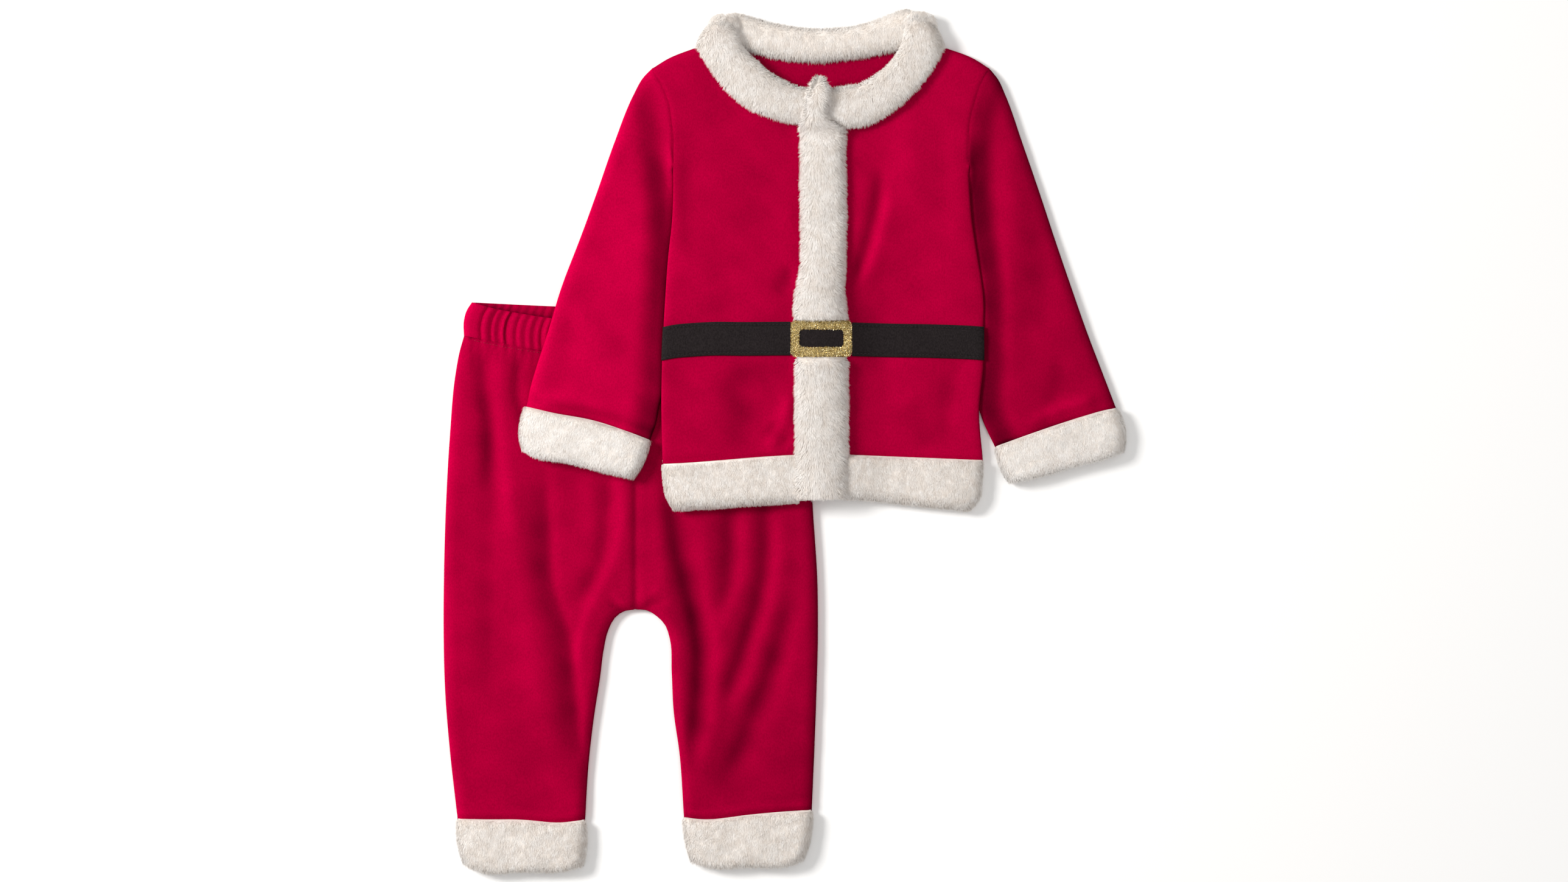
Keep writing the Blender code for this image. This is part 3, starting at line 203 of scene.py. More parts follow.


# %% [markdown]
# ** Knitted velour** has short cut loops that stand up like a lawn. Seen along the pile it is pale and seen
# into it dark, so it is mottled in soft clouds a centimetre wide, and it is grainy at under a millimetre. Its
# colour also carries painted light and shade: painted shade is darkest at the bottom of a fold, and painted
# light pales a slope that faces the lamp. It has no gloss of its own, only the sheen of fibre tips at a low
# angle.

# %% Red velour and charcoal velour
def velour(name, dark, plain, pale, sheen, tint, grain):
    """Velour of three shades, from the mesh's painted light value: in painted shade, plain and in painted light.
    """
    made, tree, shader = finish(name, 0.9, sheen=sheen, sheen_tint=tint, specular=0.0)
    colour = levels(tree, number_of(tree, "nap"), (0.0, dark), (0.5, plain), (1.0, pale))
    clouds = noise_at(tree, 13.0, 3.0)
    colour = toned(tree, colour, 0.3, clouds, (0.3, "#ececec"), (0.7, "#ffffff"))
    grains = noise_at(tree, 0.9, 2.0, (1.0, 0.6, 1.0))
    colour = toned(tree, colour, grain, grains, (0.3, "#a8a8a8"), (0.7, "#ffffff"))
    tree.links.new(colour, shader.inputs["Base Color"])
    grained(tree, shader, noise_at(tree, 0.6, 3.0), 0.35, 0.35)
    return made


# Each velour's three colours are its cloth in painted shade, plain, and in painted light.
RED = velour("crimson_velour", "#480014", "#aa0034", "#dc0048", 0.04, "#ff0040", 0.38)
CHARCOAL = velour("charcoal_velour", "#161314", "#2b2627", "#353031", 0.12, "#8c8486", 0.75)

# %% [markdown]
# **Faux fur** is fine acrylic pile, almost white, a little warmer and darker down at its roots where the light
# has bounced through many fibres. The fibres are meshes of their own, so the finish only needs the change of
# colour from root to tip and from lock to lock.

# %% Fur
def fur_finish(name, root, middle, tip):
    """Pile whose colour runs from root to tip, from the mesh's tip value, with a faint change lock by lock."""
    made, tree, shader = finish(name, 0.95, sheen=0.2, specular=0.1)
    colour = levels(tree, number_of(tree, "tip"), (0.0, root), (0.45, middle), (1.0, tip))
    colour = toned(tree, colour, 0.8, number_of(tree, "lock"), (0.0, "#d3c8bd"), (1.0, "#ffffff"))
    colour = toned(tree, colour, 0.25, noise_at(tree, 7.0, 2.0), (0.35, "#f2eae2"), (0.6, "#ffffff"))
    tree.links.new(colour, shader.inputs["Base Color"])
    grained(tree, shader, noise_at(tree, 0.6, 3.0, (1.0, 0.35, 1.0)), 0.4, 0.4)
    return made


FUR = fur_finish("ivory_fur", "#f9f3ec", "#fcf8f4", "#fefcfa")

# %% [markdown]
# ** Tinsel cloth** is knitted from flat metal-foil threads that curl out of the surface. Each short stretch
# catches the light at its own angle, so it sparkles, and each thread's gold is also painted darker or paler at
# random, as painted glints. **Thread** is plain polyester sewing thread.

# %% Gold and thread
def thread(name, dark, pale):
    """Sewing thread, whose twist shows as a change from dark to pale."""
    made, tree, shader = finish(name, 0.6, specular=0.3)
    twist = levels(tree, noise_at(tree, 0.25), (0.3, dark), (0.7, pale))
    tree.links.new(twist, shader.inputs["Base Color"])
    return made


GOLD, tree, shader = finish("gold_tinsel", 0.3, metallic=0.9, specular=0.5)
# Painted glints: each foil thread's gold is darker or paler at random, by its lock value.
glints = ((0.0, "#4a3a1c"), (0.3, "#9a7f42"), (0.7, "#d9bd78"), (1.0, "#fff2c4"))
tree.links.new(levels(tree, number_of(tree, "lock"), *glints), shader.inputs["Base Color"])
THREAD = thread("black_thread", "#1d1a1b", "#363132")
RED_THREAD = thread("red_thread", "#7c0022", "#a80034")
PAPER, tree, shader = finish("white_floor", 0.9, specular=0.1)
shader.inputs["Base Color"].default_value = linear("#fbfbfb")
print("finishes:", [item.name for item in (RED, CHARCOAL, FUR, GOLD, THREAD, RED_THREAD, PAPER)])

# %% [markdown]
# ## The pattern
#
# A pattern cutter keeps a garment as a few measured points on each seam and a smooth line through them. The
# tables here are those points, one short table for each seam or edge, and the sizes are the cloth's own: how
# thick it is, how high the flattened suit lies, and how far in from a rolled side the cloth is level again.

# %% Sizes of the cloth, mm
VELOUR = 2.2  # wall of velour
SEAM = 0.3  # space between two pieces that are sewn together
LAY_GAP = 0.1  # and a little more between a piece and the curved cloth that it lies on
LAID = 8.0  # height of the flattened jacket
TROUSERS_LAID = 8.6  # height of the flattened trousers
BAND_WALL = 2.8  # wall of the waistband, velour folded over elastic
BAND_LAID = 8.4  # height of the flattened waistband
BELT_WALL = 1.6  # velour strip of the belt
BELT_WIDTH = 24.8
BUCKLE_WALL = 2.4  # tinsel cloth of the buckle
FUR_LAID = 13.0  # height of two walls of fur
FUR_FRONT = 5.6  # wall of a fur cuff above its hollow
FUR_BACK = 4.0  # and below it
FUR_SIDE = 4.5  # and beside it
HEM_FRONT = 6.5  # fur along the bottom edge, in front
HEM_BACK = 5.4  # and behind
COLLAR_WALL = 7.0
COLLAR_LAID = 15.0  # height of the flattened collar
STRIP_PILE = 6.2  # fur band down the closing

# Rims: the height of the seam or fold that joins front and back
SIDE_SEAM = 6.4
SHOULDER_SEAM = 4.5
SLEEVE_FOLD = 4.0
UNDERARM_FOLD = 2.7
LEG_SEAM = 4.3
CUFF_FOLD = 5.8
HEM_SEAM = 6.1
COLLAR_FOLD = 7.5

# and how far in from it each wall is level again
FRONT_REACH = 7.0
BACK_REACH = 10.0
BAND_REACH = 6.0
LEG_REACH = 9.0
FUR_REACH = 8.0
UNDERARM_REACH = 5.0

# How the jacket rises over the trousers that it lies on
RISE = 9.4
RISE_TOP = (107.0, 165.0)  # Y: whole rise below the first, none above the second
RISE_SIDE = (22.0, 80.0)  # X: whole rise left of the first, none right of the second

BODY_CENTRE = 29.4  # X where the two fronts meet
SLEEVE_HEAD = 1.0  # how far the sleeve stands up past the shoulder where they meet
STRIP_LEFT, STRIP_RIGHT = 11.0, 47.9  # X of the fur band's edges
WINDOW = dict(left=11.2, right=44.4, low=68.8, high=82.3)  # the buckle's opening
BUCKLE_CORNER = 2.0
TROUSER_CENTRE = -109.8  # X of the centre front seam
UNDERARM = 200.2  # Y where sleeve and body part
SIDES = ("left", "right")
OUTWARD = dict(left=-1, right=1)  # which way along X is away from the body on each side

# %% Points along each seam and edge, mm
def table(names, *rows):
    """A short table as named columns."""
    return dict(zip(names.split(), np.array(rows, float).T))


BODY_SIDES = table(
    "y left right",
    (-14.0, -89.3, 147.4),
    (23.0, -90.2, 144.7),
    (55.8, -89.8, 147.8),
    (78.3, -88.9, 147.8),
    (109.8, -87.1, 147.4),
    (136.8, -85.3, 143.3),
    (163.8, -82.6, 139.3),
    (190.8, -81.8, 137.3),
    (213.3, -82.4, 137.0),
    (236.3, -83.2, 138.4),
    (250.7, -85.5, 142.0),
    (263.3, -90.7, 146.0),
    (275.4, -97.9, 152.8),
)
SHOULDERS = table(  # from each tip to the neck
    "left_x left_y right_x right_y",
    (-97.9, 275.4, 152.8, 275.4),
    (-85.7, 283.0, 140.5, 283.2),
    (-64.5, 291.4, 118.8, 291.4),
)
NECK_FRONT = table(  # where the collar is sewn to the fronts
    "x y",
    (-64.0, 291.3),
    (-52.9, 274.0),
    (-41.2, 258.6),
    (-21.4, 243.9),
    (-3.8, 237.6),
    (8.8, 235.2),
    (28.1, 233.6),
    (48.8, 232.0),
    (59.2, 233.4),
    (73.6, 239.9),
    (93.4, 255.6),
    (106.4, 270.8),
    (118.3, 291.3),
)
NECK_BACK = table(  # and to the back
    "x y",
    (-64.0, 291.3),
    (-47.0, 292.0),
    (-29.9, 290.5),
    (-3.8, 284.0),
    (25.9, 281.8),
    (44.8, 283.4),
    (66.4, 286.6),
    (84.4, 290.2),
    (101.0, 292.0),
    (118.3, 291.3),
)
FREE_FRONT = table(  # the collar's free edge in front
    "x y",
    (-45.2, 313.2),
    (-37.1, 304.9),
    (-31.3, 291.5),
    (-22.7, 282.5),
    (-9.7, 271.2),
    (1.6, 264.9),
    (13.3, 260.8),
    (29.0, 260.0),
    (44.8, 261.0),
    (56.0, 263.3),
    (67.7, 269.8),
    (80.8, 281.3),
    (87.6, 293.0),
    (91.0, 306.4),
    (99.2, 316.0),
)
FREE_BACK = table(  # and behind
    "x y",
    (-45.2, 313.2),
    (-38.5, 316.2),
    (-27.2, 314.6),
    (-12.8, 310.2),
    (7.4, 306.5),
    (27.7, 305.1),
    (50.6, 306.9),
    (70.4, 312.3),
    (84.8, 317.7),
    (93.4, 318.9),
    (99.2, 316.0),
)
SLEEVES = table(  # outer edges, from the shoulder's tip to the cuff
    "left_x left_y right_x right_y",
    (-98.2, 275.4, 153.1, 275.4),
    (-104.5, 268.5, 159.0, 267.5),
    (-111.4, 256.0, 164.3, 256.0),
    (-125.8, 220.0, 177.1, 220.0),
    (-138.4, 184.0, 189.5, 184.0),
    (-151.4, 148.0, 201.4, 148.0),
    (-164.5, 112.0, 213.7, 112.0),
    (-174.8, 78.0, 226.4, 76.0),
    (-182.4, 55.0, 233.3, 58.0),
    (-186.8, 40.0, 240.2, 40.0),
    (-189.6, 26.2, 245.8, 25.4),
)
SLEEVE_ENDS = table(  # inner edges, from where they leave the body to the cuff
    "left_x left_y right_x right_y",
    (-92.0, 25.0, 146.8, 17.0),
    (-94.2, 13.0, 151.2, 6.6),
    (-98.4, 1.2, 156.2, -3.6),
)
CUFFS = table(  # along the seam and along the open edge, from the outer side to the inner
    "left_x left_y left_open_x left_open_y right_x right_y right_open_x right_open_y",
    (-190.2, 25.8, -193.0, -5.6, 246.2, 25.0, 251.6, -7.6),
    (-170.8, 21.2, -184.6, -10.6, 234.2, 22.2, 239.0, -12.4),
    (-140.2, 15.4, -160.0, -15.2, 205.4, 13.4, 215.0, -18.6),
    (-114.0, 6.9, -136.0, -21.4, 179.3, 4.4, 191.0, -25.6),
    (-98.2, 0.9, -110.5, -27.4, 156.4, -3.9, 167.0, -30.8),
)
CUFF_BULGE = dict(left=(3.0, 1.8), right=(3.6, 2.2))  # of the outer and inner side, past a straight line
LEGS_OUTSIDE = table(  # from the waistband to the cuffs
    "left_x left_y right_x right_y",
    (-236.9, 77.4, 8.8, 77.4),
    (-240.1, 66.0, 12.0, 66.0),
    (-243.2, 49.0, 15.0, 49.0),
    (-247.3, 4.0, 18.8, 4.0),
    (-250.4, -52.0, 21.6, -50.0),
    (-251.8, -105.0, 25.0, -105.0),
    (-252.0, -140.0, 25.4, -140.0),
    (-250.6, -190.0, 24.2, -190.0),
    (-247.3, -230.0, 22.7, -230.0),
    (-241.8, -278.8, 20.9, -272.4),
)
LEGS_INSIDE = table(  # from the crotch to the cuffs
    "left_x left_y right_x right_y",
    (-109.95, -125.1, -109.65, -125.1),
    (-118.6, -126.5, -101.0, -125.8),
    (-124.4, -130.5, -94.7, -129.6),
    (-129.8, -140.0, -88.0, -136.4),
    (-133.2, -154.0, -84.6, -146.0),
    (-136.1, -176.0, -83.0, -172.0),
    (-140.3, -203.0, -81.6, -200.0),
    (-144.6, -240.0, -77.2, -232.0),
    (-147.0, -279.6, -74.0, -277.8),
)
WAIST_SEAM = table(  # bottom of the waistband: distance from the side as a share of the width
    "share front back",
    (0.0, 77.4, 77.4),
    (0.12, 71.0, 77.0),
    (0.25, 66.0, 76.0),
    (0.5, 62.5, 75.0),
    (0.75, 66.0, 76.0),
    (0.88, 71.0, 77.0),
    (1.0, 77.4, 77.4),
)
WAIST_EDGE = table(  # its top edge
    "share front back",
    (0.0, 102.4, 102.6),
    (0.07, 97.8, 101.8),
    (0.14, 94.6, 101.0),
    (0.25, 90.6, 99.8),
    (0.5, 87.0, 98.6),
    (0.75, 90.6, 99.8),
    (0.86, 94.6, 101.0),
    (0.93, 97.8, 101.8),
    (1.0, 102.4, 102.6),
)
WAIST_LEFT, WAIST_RIGHT = LEGS_OUTSIDE["left_x"][0], LEGS_OUTSIDE["right_x"][0]
BAND_SIDES = table(  # the waistband's sides, from its top edge down
    "left right y",
    (-231.0, 4.4, 102.5),
    (-235.0, 5.7, 96.0),
    (-237.0, 7.0, 88.0),
    (-236.9, 8.8, 77.85),
)
LEG_CUFFS = table(  # along the seam and along the open edge, from the left side to the right
    "left_x left_y left_open_x left_open_y right_x right_y right_open_x right_open_y",
    (-241.7, -279.2, -237.0, -312.4, -74.4, -278.4, -68.6, -310.6),
    (-221.0, -279.8, -222.0, -318.6, -60.0, -279.7, -55.0, -314.6),
    (-194.2, -279.9, -194.0, -317.8, -27.0, -276.4, -27.0, -314.4),
    (-165.0, -282.0, -165.0, -317.6, 3.0, -273.8, 2.0, -313.6),
    (-147.0, -280.0, -148.4, -313.6, 20.8, -272.8, 14.6, -309.8),
)
LEG_CUFF_BULGE = dict(left=(2.0, 1.6), right=(1.4, 2.4))
COLLAR_TURNS = dict(left=(-44.5, 308.0), right=(101.0, 309.5))  # where the collar's front passes into its back
COLLAR_BULGE = 3.6  # how far the collar's turned sides swell past a straight line
HEM_EDGE = table(  # free edge of the fur hem, from the left side seam to the right
    "x y",
    (-89.5, -14.3),
    (-88.9, -27.0),
    (-86.6, -41.0),
    (-82.0, -49.4),
    (-66.0, -49.8),
    (-30.0, -47.4),
    (10.0, -44.8),
    (29.0, -43.0),
    (51.0, -42.8),
    (90.0, -46.6),
    (123.0, -50.0),
    (139.0, -50.4),
    (145.0, -43.0),
    (147.0, -30.0),
    (147.6, -14.3),
)
HEM_CORNERS = (-82.0, 139.0)  # X of its corners
HEM_SEAM_Y = (-14.0, -9.0)  # where the hem is sewn on, at the sides and at the centre
BAND_EDGES = table(  # the upper fur band, from the buckle to the tip that lies over the collar
    "y left right extra",
    (BUCKLE["high"] + SEAM, 9.8, 48.0, 0.0),
    (94.0, 10.0, 47.0, 0.0),
    (103.0, 10.2, 46.0, 0.0),
    (109.0, 11.0, 45.0, 0.0),
    (115.0, 12.6, 44.6, 0.0),
    (122.0, 14.4, 45.6, 0.0),
    (137.0, 15.5, 45.7, 0.0),
    (162.0, 15.1, 46.5, 0.0),
    (193.0, 14.6, 46.4, 0.0),
    (213.0, 15.1, 45.6, 0.0),
    (225.0, 14.8, 46.4, 0.0),
    (229.0, 14.0, 47.0, 0.9),
    (232.0, 13.9, 44.5, 2.9),
    (235.0, 14.3, 38.5, 5.2),
    (238.0, 15.0, 34.5, 6.8),
    (242.0, 16.4, 32.5, 7.3),
    (246.0, 17.2, 33.5, 7.4),
    (254.0, 18.6, 35.0, 7.4),
    (261.0, 20.0, 34.6, 7.4),
    (266.0, 22.5, 32.5, 7.4),
    (268.6, 25.5, 29.5, 7.4),
)
# Creases: height in the middle (less than 0 for a trough), the half widths on its right and left hand, then
# the points that it runs through.
TROUSER_CREASES = (
    (-1.0, 9, 7, (-217, 56), (-217, -34), (-218, -115), (-220, -192)),
    (1.2, 10, 12, (-200, 20), (-198, -57), (-190, -115), (-182, -178), (-175, -214)),
    (-2.8, 14, 5, (-178, -16), (-175, -70), (-173, -106), (-164, -133), (-157, -165), (-155, -192),
     (-153, -219), (-146, -255)),
    (0.8, 8, 6, (-146, -25), (-140, -61), (-140, -97)),
    (-1.6, 8, 4, (-128, -12), (-131, -57), (-137, -90), (-145, -108), (-156, -126)),
    (1.8, 4, 9, (-121, -12), (-119, -61), (-125, -88), (-133, -106), (-146, -133), (-152, -160), (-151, -192)),
    (1.4, 10, 6, (-98, -25), (-92, -70), (-89, -106), (-86, -133)),
    (-3.4, 7, 9, (-83, -34), (-78, -79), (-72, -106), (-66, -129), (-62, -156), (-63, -183), (-65, -210),
     (-69, -241)),
    (1.2, 7, 7, (-59, -48), (-57, -93), (-53, -129), (-48, -151), (-50, -183), (-51, -205), (-57, -228),
     (-65, -255)),
    (-1.8, 7, 7, (-40, -43), (-40, -88), (-43, -124)),
    (1.2, 7, 6, (-28, -48), (-28, -79), (-29, -102), (-36, -117), (-46, -147)),
    (-2.6, 7, 7, (-14, -34), (-14, -93), (-18, -117), (-25, -138), (-31, -158), (-38, -178), (-43, -198)),
    (1.4, 7, 8, (-1, -52), (-2, -93), (-9, -129), (-17, -151), (-22, -174), (-29, -187), (-47, -205)),
    (-2.2, 8, 9, (6, -115), (-2, -151), (-10, -174), (-19, -196), (-26, -214), (-33, -232), (-47, -255)),
    (0.8, 10, 8, (17, -61), (16, -124), (8, -151), (1, -187), (-10, -219)),
    (-1.8, 6, 5, (-223, 69), (-222, 38), (-218, 11), (-218, -34)),
    (1.5, 6, 7, (-210, 69), (-209, 29), (-205, -16), (-200, -70)),
    (-1.8, 4, 4, (-196, 65), (-197, 33), (-187, 2)),
    (0.9, 2.5, 3, (-126, -112), (-119, -120), (-113, -123)),
    (-0.9, 2.5, 2.5, (-129, -120), (-122, -124), (-114, -126)),
    (0.9, 3, 2.5, (-91, -109), (-100, -115), (-106, -122)),
    (-1.0, 2.5, 2.5, (-86, -117), (-94, -120), (-103, -124)),
    (0.8, 2.5, 3, (-101, -107), (-105, -113), (-107, -120)),
)
JACKET_CREASES = (
    (-2.0, 6, 5, (72, 200), (69, 173), (64, 153), (60, 137), (51, 116)),
    (1.2, 5, 8, (80, 186), (74, 155), (67, 135), (61, 116)),
    (0.8, 12, 12, (91, 245), (92, 173)),
    (0.6, 8, 8, (127, 236), (128, 137)),
    (-0.6, 5, 8, (-70, 218), (-73, 177), (-65, 123)),
    (-1.3, 12, 12, (-17, 58), (-35, 38), (-30, 15), (-37, -9)),
    (-0.8, 10, 12, (12, 56), (-16, 40)),
    (1.4, 5, 6, (6, 33), (-2, 11), (-11, -8)),
    (0.6, 12, 10, (64, 47), (82, -7)),
    (-0.8, 9, 6, (131, 60), (123, 38), (119, -7)),
    (-1.0, 7, 7, (-4, 108), (9, 128)),
    (-1.3, 7, 7, (-9, 13), (5, -2)),
    (0.8, 10, 10, (-70, 150), (-52, 100)),
    (-0.8, 9, 9, (96, 30), (112, -6)),
)
SLEEVE_CREASES = (
    (0.9, 4, 6, (-185, 26), (-156, 31), (-128, 24)),
    (-0.6, 7, 7, (205, 69), (203, 42), (196, 22)),
    (1.2, 4, 5, (179, 11), (208, 25), (233, 32)),
    (-0.8, 10, 10, (180, 218), (187, 146), (194, 83)),
    (1.0, 8, 10, (165, 236), (168, 146), (166, 47)),
    (-0.6, 9, 9, (-157, 101), (-162, 56), (-172, 29)),
    (-1.2, 6, 6, (-172, 24), (-112, 13)),
    (1.2, 7, 7, (196, 18), (230, 30)),
    (-0.8, 10, 10, (-150, 120), (-118, 60)),
)
CENTRE_SEAM_DIP = dict(depth=1.2, width=3.0, ends_y=-126)  # where the two trouser fronts are sewn together
SLEEVE_TROUGH = dict(depth=2.8, width=24.0, starts=0.15)  # beside the body, where a sleeve tucks against it
STITCH_DIP = dict(depth=0.7, width=1.5)  # where a seam's stitches draw the cloth down
print("points round the neck:", sum(len(t["x"]) for t in (NECK_FRONT, NECK_BACK, FREE_FRONT, FREE_BACK)))

# %% [markdown]
# A seam is a smooth path through its few points. Every path here is a function from a share of its length,
# 0 to 1, to a point, so that any two paths can be divided alike and a grid stretched between them.

# %% Paths
def smooth(at, keys, values):
    """Cubic curve through values at rising keys, with each slope taken from the two neighbours."""
    slope = np.gradient(values, keys)
    k = np.clip(np.searchsorted(keys, at) - 1, 0, len(keys) - 2)
    step = keys[k + 1] - keys[k]
    t = np.clip((at - keys[k]) / step, 0, 1)
    ends = (1 + 2 * t) * (1 - t) ** 2 * values[k] + t * t * (3 - 2 * t) * values[k + 1]
    return ends + step * (t * (1 - t) ** 2 * slope[k] + t * t * (t - 1) * slope[k + 1])


def curve(x, y):
    """A smooth path through the points, as a function of the share of its length."""
    chord = np.r_[0, np.cumsum(np.hypot(np.diff(x), np.diff(y)))]
    fine = np.linspace(0, chord[-1], 300)
    fine_x, fine_y = smooth(fine, chord, x), smooth(fine, chord, y)
    length = np.r_[0, np.cumsum(np.hypot(np.diff(fine_x), np.diff(fine_y)))]
    share = length / length[-1]
    return lambda s: np.stack([np.interp(s, share, fine_x), np.interp(s, share, fine_y)], -1)


def traced(points, which=""):
    """The smooth path through a table's x and y columns, or those whose names start with the word given."""
    start = which + "_" if which else ""
    return curve(points[start + "x"], points[start + "y"])


def part_of(path, first, last):
    """The stretch of a path between two shares of its length, either way round."""
    return lambda s: path(first + (last - first) * np.asarray(s, float))


def share_at(path, column, value):
    """The share of a path's length at which its x (column 0) or y (column 1) passes a value."""
    shares = np.linspace(0, 1, 2000)
    places = path(shares)[:, column]
    return shares[np.abs(places - value).argmin()]


def line(first, last):
    """A straight path."""
    first, last = np.array(first, float), np.array(last, float)
    return lambda s: first + (last - first) * np.asarray(s, float)[..., None]


def bulging(first, last, bulge):
    """A path between two points that swells to its right by the bulge."""
    first, last = np.array(first, float), np.array(last, float)
    step = last - first
    right = np.array([step[1], -step[0]]) / np.hypot(*step)

    def at(s):
        s = np.asarray(s, float)[..., None]
        return first + step * s + right * bulge * 4 * s * (1 - s)

    return at


def joined(*paths):
    """Several paths end to end, as one function of the share of the whole length."""
    points = np.concatenate([path(np.linspace(0, 1, 300)) for path in paths])
    length = np.r_[0, np.cumsum(np.hypot(*np.diff(points, axis=0).T))]
    share = length / length[-1]
    return lambda s: np.stack([np.interp(s, share, points[:, 0]), np.interp(s, share, points[:, 1])], -1)


def reverse(path):
    """The same path the other way."""
    return lambda s: path(1 - np.asarray(s, float))


def beside(path, distance):
    """A path moved to its left."""

    def at(s):
        s = np.asarray(s, float)
        step = path(np.clip(s + 0.01, 0, 1)) - path(np.clip(s - 0.01, 0, 1))
        left = np.stack([-step[..., 1], step[..., 0]], -1) / np.linalg.norm(step, axis=-1, keepdims=True)
        return path(s) + distance * left

    return at


def cloth_on_left(side, outer, inner):
    """The outer and the inner edge of a piece that hangs down, each run so that its cloth is on its left."""
    return (outer, reverse(inner)) if side == "left" else (reverse(outer), inner)


print("left sleeve's outer edge, halfway down:", traced(SLEEVES, "left")(0.5).round(1))

# %% [markdown]
# A flat pattern piece has four sides. Its grid is a Coons patch: the two blends between opposite sides are
# added and the blend between the four corners taken away, so that the grid keeps all four sides exactly.
# The columns and rows crowd near the sides, where the cloth rolls over, and are even between them.

# %% Grids
ABOUT = dict(  # width and length of the pieces, mm, near enough to space their grids by
    front=(118, 270),
    back=(236, 290),
    sleeve=(88, 260),
    leg=(118, 350),
    waistband=(240, 26),
    cuff=(94, 33),
    collar=(230, 30),
    strip=(37, 191),
    hem_front=(100, 35),
    hem_back=(236, 35),
)
SHOWN = (2.3,)  # spacing between the points of velour that shows from above
UNSEEN = (4.0, 1.0)  # and of cloth that doesn't: the spacing, and the first step beside an edge
FUR_ACROSS, FUR_ALONG = (3.0, 0.8), (2.5, 0.8)


def patch(start, end, side_a, side_b, u, v):
    """Plan grid between four rows of points at shares u across and v along: start and end run from a to b."""
    u, v = u[None, :, None], v[:, None, None]
    ends = (1 - v) * start[None] + v * end[None]
    sides = (1 - u) * side_a[:, None] + u * side_b[:, None]
    corners = (1 - v) * ((1 - u) * start[0] + u * start[-1]) + v * ((1 - u) * end[0] + u * end[-1])
    return ends + sides - corners


def between(paths, u, v):
    """Plan grid between four paths (start, end, side a, side b) at shares across and along."""
    start, end, side_a, side_b = paths
    return patch(start(u), end(u), side_a(v), side_b(v), u, v)


def crowded(width, spacing, first=0.6, growth=1.5):
    """Shares of a width: the first step at both ends, each step larger by the growth until the spacing."""
    steps, step = [0.0], first
    while step < spacing and steps[-1] + step < width / 4:
        steps.append(steps[-1] + step)
        step *= growth
    ends = np.array(steps) / width
    count = max(2, round(width * (1 - 2 * ends[-1]) / spacing))
    return np.concatenate([ends, np.linspace(ends[-1], 1 - ends[-1], count + 1)[1:-1], 1 - ends[::-1]])


def spread(piece, across, along=None):
    """Shares across and along a piece's grid, for its size and the spacing each way."""
    width, length = ABOUT[piece]
    return crowded(width, *across), crowded(length, *(along or across))


print("columns and rows of a front:", [len(shares) for shares in spread("front", SHOWN)])

# %% [markdown]
# The cloth's height is the sum of a few simple things: the level of the flattened garment, its rise over the
# trousers, long soft creases placed one by one, slow waves that no cloth is free of, and the roll at its sides.
# A roll is a quarter of an ellipse, steep at the seam and level a reach away from it.

# %% Heights
def ramp(t):
    """0 to 1 with level ends."""
    t = np.clip(t, 0, 1)
    return t * t * (3 - 2 * t)


def roll(t):
    """A quarter of an ellipse: steep at 0, level from 1 on."""
    return np.sqrt(np.clip(1 - (1 - np.clip(t, 0, 1)) ** 2, 0, 1))


def bell(distance, width, middle=0.0):
    """1 at the middle, and almost nothing from two widths away on."""
    return np.exp(-(((distance - middle) / width) ** 2))


def rise(x, y):
    """How high the jacket's underside lies: on the trousers, on the surface, or on its way down."""
    down_top = ramp((y - RISE_TOP[0]) / (RISE_TOP[1] - RISE_TOP[0]))
    down_side = ramp((x - RISE_SIDE[0]) / (RISE_SIDE[1] - RISE_SIDE[0]))
    return RISE * (1 - down_top) * (1 - down_side)


def near(points, route):
    """Distance from each point to a route, and the direction away from it, into the cloth on its left."""
    start, step = route[:-1], np.diff(route, axis=0)
    along = ((points[..., None, :] - start) * step).sum(-1) / (step**2).sum(-1)
    nearest = start + np.clip(along, 0, 1)[..., None] * step
    gap = np.linalg.norm(points[..., None, :] - nearest, axis=-1)
    best = gap.argmin(-1)[..., None]
    distance = np.take_along_axis(gap, best, -1)[..., 0]
    left = np.stack([-step[:, 1], step[:, 0]], -1)
    left = (left / np.linalg.norm(left, axis=-1, keepdims=True))[best[..., 0]]
    foot = np.take_along_axis(nearest, best[..., None], -2)[..., 0, :]
    away = (points - foot) / np.maximum(distance, 1e-9)[..., None]
    return distance, np.where((distance > SEAM)[..., None], away, left)


def distance_to(path, plan, steps=60):
    """Distance from each point of a plan to a path, mm."""
    return near(plan, path(np.linspace(0, 1, steps)))[0]


def creases(which, x, y):
    """Height of the creases of a table. Each fades out at its two ends."""
    total = np.zeros(np.shape(x))
    plan = np.stack([x, y], -1)
    for height, right_width, left_width, *points in which:
        route = curve(*np.array(points, float).T)(np.linspace(0, 1, 40))
        distance, away = near(plan, route)
        chord = route[-1] - route[0]
        left = chord[0] * away[..., 1] - chord[1] * away[..., 0] > 0
        along = ((plan - route[0]) * chord).sum(-1) / (chord**2).sum()
        width = np.where(left, left_width, right_width)
        begins = ramp(along / CREASE_FADE + CREASE_PAST)
        ends = ramp((1 - along) / CREASE_FADE + CREASE_PAST)
        total += height * bell(distance, width) * begins * ends
    return total


CREASE_FADE = 0.3  # share of a crease's length over which it fades out
CREASE_PAST = 0.3  # and how much of its height is left at its last point, as a place on the ramp


def rim(path, edge, reach, inset):
    """A rolled side: its route, the height of its seam, its reach and how far in the inner face begins."""
    return dict(route=path(np.linspace(0, 1, 120)), edge=edge, reach=reach, inset=inset)


